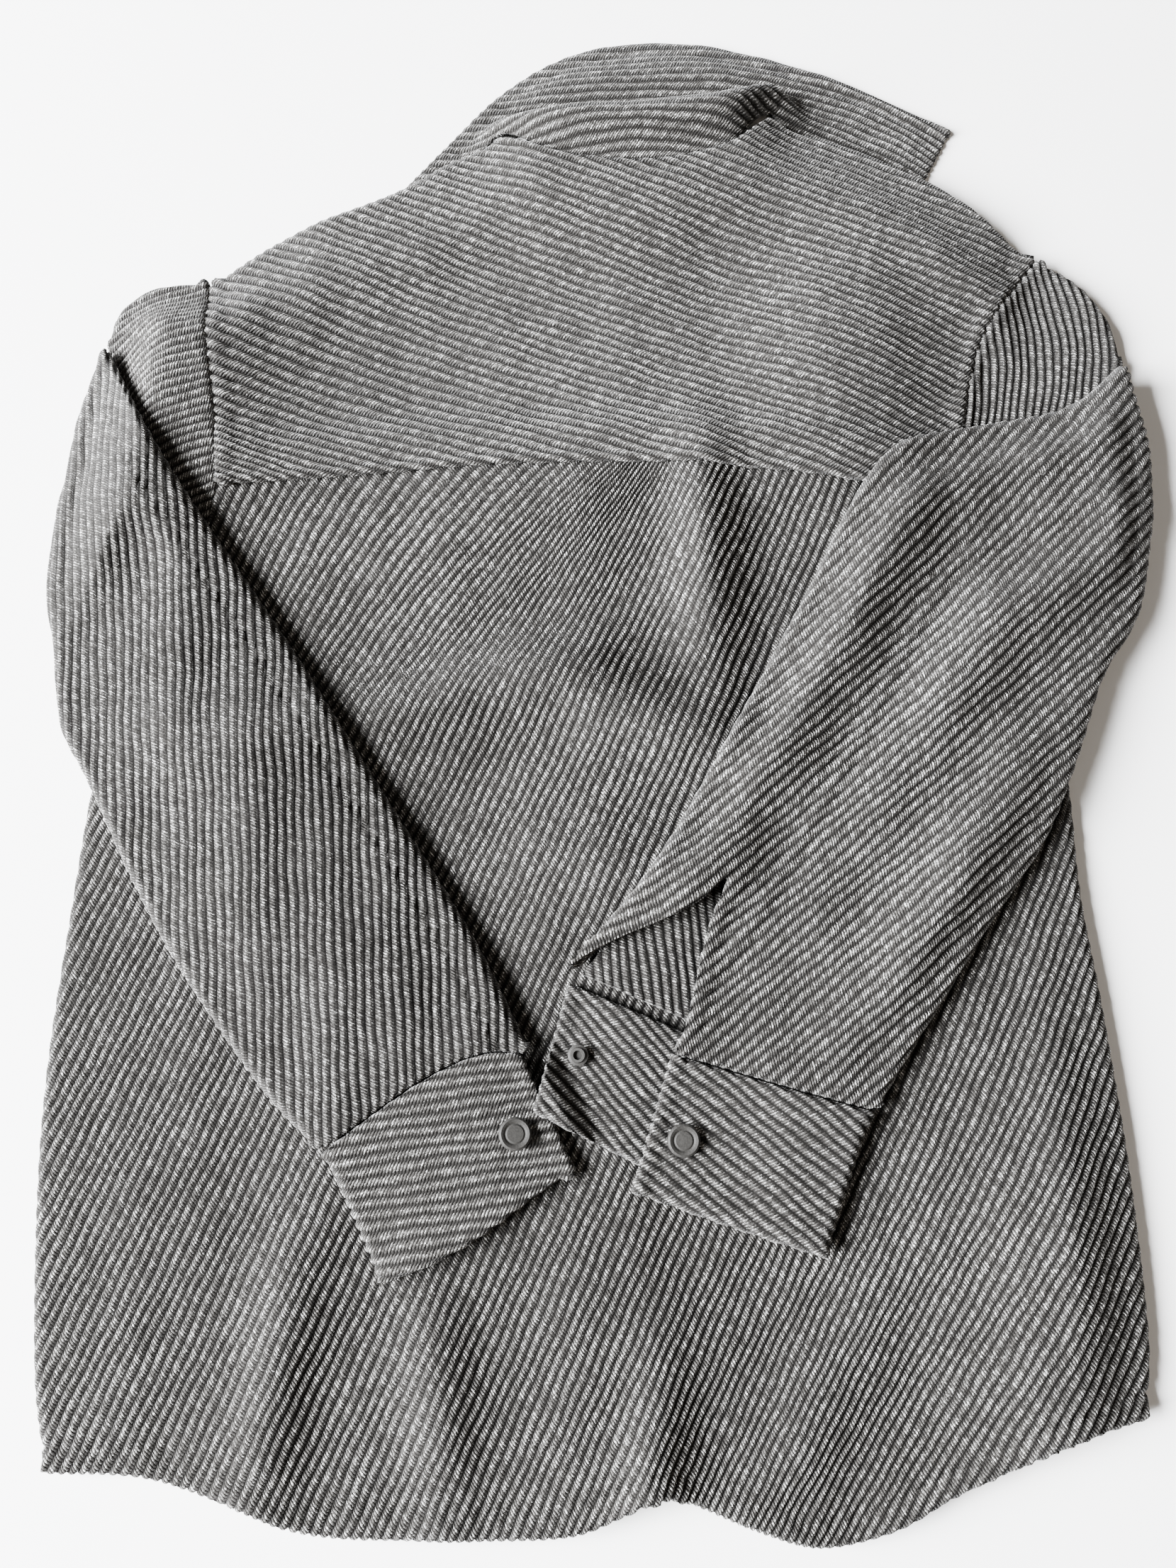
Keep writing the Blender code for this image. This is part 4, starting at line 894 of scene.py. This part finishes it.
left_cap_under = lower_layer([ARMHOLE_LEFT_LOW, ARMHOLE_LEFT_HIGH, SLEEVE_IN_LEFT["upper"],
                              SLEEVE_IN_LEFT["crease"], SLEEVE_IN_LEFT["lower"][::-1]],
                             LAYER_MARGIN, table_height)
left_seam = left_at(np.linspace(0.05, 1, 40), np.full(40, 0.13))
shell = bmesh.new()
wall(shell, left_folded, Ribs(-86, [], 0.0047), [(curve(left_seam), 0.0, -0.0010, 0.0013)])
wall(shell, left_cap, Ribs(17, [(-0.190, 0.26, -0.012, 0.8, 0.30)], 0.0048),
     [(curve(ARMHOLE_LEFT_HIGH), 0.003, 0.0008, 0.003)])
wall(shell, left_under, Ribs(-86), hidden=True)
wall(shell, left_cap_under, Ribs(17), hidden=True)
sleeve_left = cloth("sleeve_left_cloth", shell, "sleeve_left")

SLIT_START, SLIT_ACROSS, SLIT_END, SLIT_SLIP = 0.82, 0.21, 0.41, 0.013
SLIT_HALF = 0.010
SLIT_ROUND = 0.008
right_at = sleeve_patch(SLEEVE_IN_RIGHT["crease"], SLEEVE_OUT_RIGHT)
slit_along = np.linspace(SLIT_START, 1, 12)
slit_open = smooth((slit_along - SLIT_START) / (1 - SLIT_START))
left_lip = right_at(slit_along, np.maximum(SLIT_ACROSS * (1 - slit_open) - SLIT_HALF, 0.0))
lip_across = SLIT_ACROSS + SLIT_HALF + (SLIT_END - SLIT_ACROSS - SLIT_HALF) * slit_open
end_down = right_at(np.ones(12), lip_across) - right_at(np.full(12, 0.9), lip_across)
end_down /= np.linalg.norm(end_down, axis=1)[:, None]
slip = SLIT_SLIP * slit_open * (1 - lip_across) / (1 - SLIT_END)
right_lip = right_at(slit_along, lip_across) + end_down * slip[:, None]
slit_tip = right_at(np.array([SLIT_START - SLIT_ROUND]), np.array([SLIT_ACROSS]))
end_across = np.linspace(SLIT_END, 1, 10)
end_step = right_at(np.ones(10), end_across) - right_at(np.full(10, 0.9), end_across)
end_step /= np.linalg.norm(end_step, axis=1)[:, None]
end_slip = SLIT_SLIP * (1 - end_across) / (1 - SLIT_END)
right_end = right_at(np.ones(10), end_across) + end_step * end_slip[:, None]
right_height = sleeve_height(right_at, RIDGES_RIGHT,
                             np.vstack([SLEEVE_OUT_RIGHT["upper"], SLEEVE_OUT_RIGHT["lower"]]))
right_folded = Panel([
    (moved_out(SLEEVE_IN_RIGHT["crease"][::-1], fold_reach), fold_roll, pi),
    (moved_out(SLEEVE_OUT_RIGHT["upper"], HALF_WALL)[:-1], EDGE_ROLL, pi),
    (np.vstack([left_lip[:1:-1], slit_tip, right_lip[2:]]), TUCK_ROLL, pi / 2),
    (right_end, TUCK_ROLL, pi / 2),
    (moved_out(SLEEVE_OUT_RIGHT["lower"][::-1], HALF_WALL), EDGE_ROLL, pi),
], right_height, CORNER_SOFT)
right_cap = Panel([
    (ARMHOLE_RIGHT_LOW[::-1], TUCK_ROLL, pi / 2),
    (moved_out(SLEEVE_IN_RIGHT["lower"], HALF_WALL), EDGE_ROLL, pi),
    (SLEEVE_IN_RIGHT["crease"][::-1], 0.0, 0.0),
    (moved_out(SLEEVE_IN_RIGHT["upper"][::-1], HALF_WALL), EDGE_ROLL, pi),
    (ARMHOLE_RIGHT_HIGH[::-1], TUCK_ROLL, pi / 2),
], body_height)
right_under = lower_layer([SLEEVE_IN_RIGHT["crease"][::-1], SLEEVE_OUT_RIGHT["upper"],
                           SLEEVE_OUT_RIGHT["end"], SLEEVE_OUT_RIGHT["lower"][::-1]],
                          LAYER_MARGIN, under_height)
right_cap_under = lower_layer([ARMHOLE_RIGHT_LOW[::-1], SLEEVE_IN_RIGHT["lower"],
                               SLEEVE_IN_RIGHT["crease"][::-1], SLEEVE_IN_RIGHT["upper"][::-1],
                               ARMHOLE_RIGHT_HIGH[::-1]], LAYER_MARGIN, table_height)
strip_top = right_at(np.full(2, SLIT_START - 0.03), np.array([SLIT_ACROSS, SLIT_ACROSS + 0.07]))
placket = np.vstack([strip_top[:1], right_lip[2:]])
placket_out = np.vstack([strip_top[1:], right_lip[2:] + (0.0095, 0.0025)])
right_seam = right_at(np.linspace(0.10, 0.93, 40), np.linspace(0.30, 0.36, 40))
shell = bmesh.new()
right_bends = [(-0.045, -0.085, -0.015, -0.55, 0.045), (0.17, 0.0, 0.03, 0.14, 0.15)]
right_ribs = Ribs(41, right_bends, 0.0048)
wall(shell, right_folded, right_ribs,
     [(curve(right_seam), 0.0, 0.0009, 0.0020), (curve(right_seam), 0.0055, -0.0007, 0.0012),
      (curve(placket), 0.004, 0.0008, 0.0040), (curve(placket_out), 0.0, -0.0014, 0.0012)])
wall(shell, right_cap, Ribs(-78, [(-0.150, 0.32, 0.012, -0.5, 0.15)], 0.0048),
     [(curve(ARMHOLE_RIGHT_HIGH), 0.0025, 0.0012, 0.0025)])
wall(shell, right_under, Ribs(97, [], 0.0048))
wall(shell, right_cap_under, Ribs(-78), hidden=True)
sleeve_right = cloth("sleeve_right_cloth", shell, "sleeve_right")

# Cuffs
# A straight band sewn round each sleeve's end, unfastened. The left one shows its outside; the
# right one is open, its outer end on the right and its inside turned up on the left.
CUFF_GAP = 0.0009
CUFFS = {"left": {"at": left_at, "ridges": RIDGES_LEFT, "steps": ((0.027, -0.056), (0.031, -0.063)),
                  "heights": (0.063, 0.069), "bulge": 0.013, "slip": 0.0},
         "right": {"at": right_at, "ridges": RIDGES_RIGHT,
                   "steps": ((-0.017, -0.064), (-0.026, -0.070)),
                   "heights": (0.066, 0.074), "bulge": 0.0, "slip": SLIT_SLIP}}
LEFT_CUFF_EDGE = ((-0.030, -0.179), (-0.003, -0.235))
LEFT_CUFF_RISE = 0.0086
CUFF_PINCH = 0.0030


def cuff_patch(cuff, layer):
    """Patch of a cuff's layer, read by its shares across and down."""
    near, far = np.array(cuff["steps"][0]), np.array(cuff["steps"][1])

    def at(across, down):
        across, down = np.asarray(across, float), np.asarray(down, float)
        seam = cuff["at"](np.ones(len(across)), across)
        before = cuff["at"](np.full(len(across), 0.9), across)
        way = (seam - before) / np.linalg.norm(seam - before, axis=1)[:, None]
        seam = seam + way * (cuff["slip"] * layer * (1 - across) / (1 - SLIT_END))[:, None]
        step = (1 - across)[:, None] * near + across[:, None] * far
        step = step / np.linalg.norm(step, axis=1)[:, None]
        height = (1 - across) * cuff["heights"][0] + across * cuff["heights"][1]
        height = height + cuff["bulge"] * np.sin(pi * np.clip(across, 0, 1))
        return seam + step * (CUFF_GAP + height * down)[:, None]
    return at


def cuff_height(cuff, layer):
    """Outer surface of a cuff's layer where it lies over the body."""
    at = cuff_patch(cuff, layer)

    def height(x, y):
        across, down = read_back(at, np.column_stack([x, y]))
        edge = smooth(across / 0.16) * smooth((1 - across) / 0.16)
        rise = 0.0
        for middle, start, width, length, high in cuff["ridges"]:
            away = ((across - middle) / width) ** 2 + ((1 - start) / length) ** 2
            rise = rise + high * np.exp(-away)
        rise = rise * (1 - 0.7 * np.clip(down, 0, 1))
        z = under_height(x, y) + rise * edge * layer + LAYER_STEP * layer
        if cuff["slip"]:
            (ax, ay), (bx, by) = LEFT_CUFF_EDGE
            inward = ((bx - ax) * (ay - y) - (ax - x) * (by - ay)) / np.hypot(bx - ax, by - ay)
            return z + LEFT_CUFF_RISE * smooth((inward + 0.016) / 0.014)
        return z - CUFF_PINCH * layer * (1 - smooth(across / 0.4)) * smooth(down / 0.3)
    a, b = [grid.ravel() for grid in np.meshgrid(np.linspace(0, 1, 9), np.linspace(0, 1, 5))]
    return Terrain(height, at(a, b))


def cuff_line(at, start, end):
    shares = np.linspace(0, 1, 9)
    return at(start[0] + (end[0] - start[0]) * shares, start[1] + (end[1] - start[1]) * shares)


def cuff_panel(cuff, layer, start, stop, outer_roll, angle=pi):
    """Layer of a cuff between two shares across it, and the lines of its four sides."""
    at = cuff_patch(cuff, layer)
    sides = [(cuff_line(at, (start, 0), (start, 1)), LAP_ROLL, angle),
             (cuff_line(at, (start, 1), (stop, 1)), LAP_ROLL, angle),
             (cuff_line(at, (stop, 1), (stop, 0)), outer_roll, angle),
             (cuff_line(at, (stop, 0), (start, 0)), TUCK_ROLL, min(angle, pi / 2))]
    ring = np.vstack([side[0] for side in sides])
    turn = np.roll(ring, -1, axis=0)
    if (ring[:, 0] * turn[:, 1] - turn[:, 0] * ring[:, 1]).sum() < 0:
        ordered = [(points[::-1], roll, angle) for points, roll, angle in sides[::-1]]
    else:
        ordered = sides
    return Panel(ordered, cuff_height(cuff, layer)), [curve(side[0]) for side in sides]


CUFF_STITCH = 0.0085
for name, number, layer, start, stop, ribs, unseen in (
        ("cuff_left", "left", 1, 0.03, 1.0, Ribs(7, [], 0.0053), (0, 0.08, 0.945)),
        ("cuff_right", "right", 1, 0.41, 1.0, Ribs(-39, [], 0.0050), None)):
    panel, (side, bottom, end, top) = cuff_panel(CUFFS[number], layer, start, stop, EDGE_ROLL)
    marks = [(side, CUFF_STITCH, -0.0012, 0.0011), (side, 0.004, 0.0007, 0.003),
             (bottom, 0.006, 0.0006, 0.003)]
    shell = bmesh.new()
    wall(shell, panel, ribs, marks)
    if unseen:
        hidden_panel, _ = cuff_panel(CUFFS[number], *unseen, 0.0, 0.0)
        wall(shell, hidden_panel, ribs, hidden=True)
    else:
        inside_panel, (side, bottom, end, top) = cuff_panel(CUFFS[number], 0, 0.02, 0.94, LAP_ROLL)
        wall(shell, inside_panel, Ribs(-47, [], 0.0045), [(side, CUFF_STITCH, -0.0011, 0.0011)])
    made = cloth(name + "_cloth", shell, name)

# Snaps
# Ring-shaped press studs in matt dark grey metal: a grooved cap on each cuff's end, a small
# socket on the inside of the right cuff, and six flat caps down the front, under the body.
snap_look = bpy.data.materials.new("Matt dark snap")
snap_look.use_nodes = True
snap_tree = snap_look.node_tree
snap_shader = snap_tree.nodes["Principled BSDF"]
snap_start = Wire(snap_tree, None)
snap_place = snap_start.node("ShaderNodeTexCoord", {}, out=3)
snap_grain = snap_start.node("ShaderNodeTexNoise",
                             {"Vector": snap_place, "Scale": 1400.0, "Detail": 3.0})
snap_tone = snap_start.node("ShaderNodeValToRGB", {"Fac": snap_grain},
                            {"stops": [(0.3, (0.014, 0.0135, 0.0125)),
                                       (0.7, (0.026, 0.025, 0.0235))]})
snap_bump = snap_start.node("ShaderNodeBump",
                            {"Height": snap_grain * 0.00006, "Strength": 0.6, "Distance": 1.0})
snap_tree.links.new(snap_tone.socket, snap_shader.inputs["Base Color"])
snap_tree.links.new((snap_grain * 0.20 + 0.50).socket, snap_shader.inputs["Roughness"])
snap_tree.links.new(snap_bump.socket, snap_shader.inputs["Normal"])
snap_shader.inputs["Specular IOR Level"].default_value = 0.2
front_snaps = ["front_snap_%d" % (k + 1) for k in range(6)]
for name in ["snap_cap_left", "snap_cap_right", "snap_stud_right"] + front_snaps:
    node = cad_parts[name]
    node.data.materials.clear()
    node.data.materials.append(snap_look)
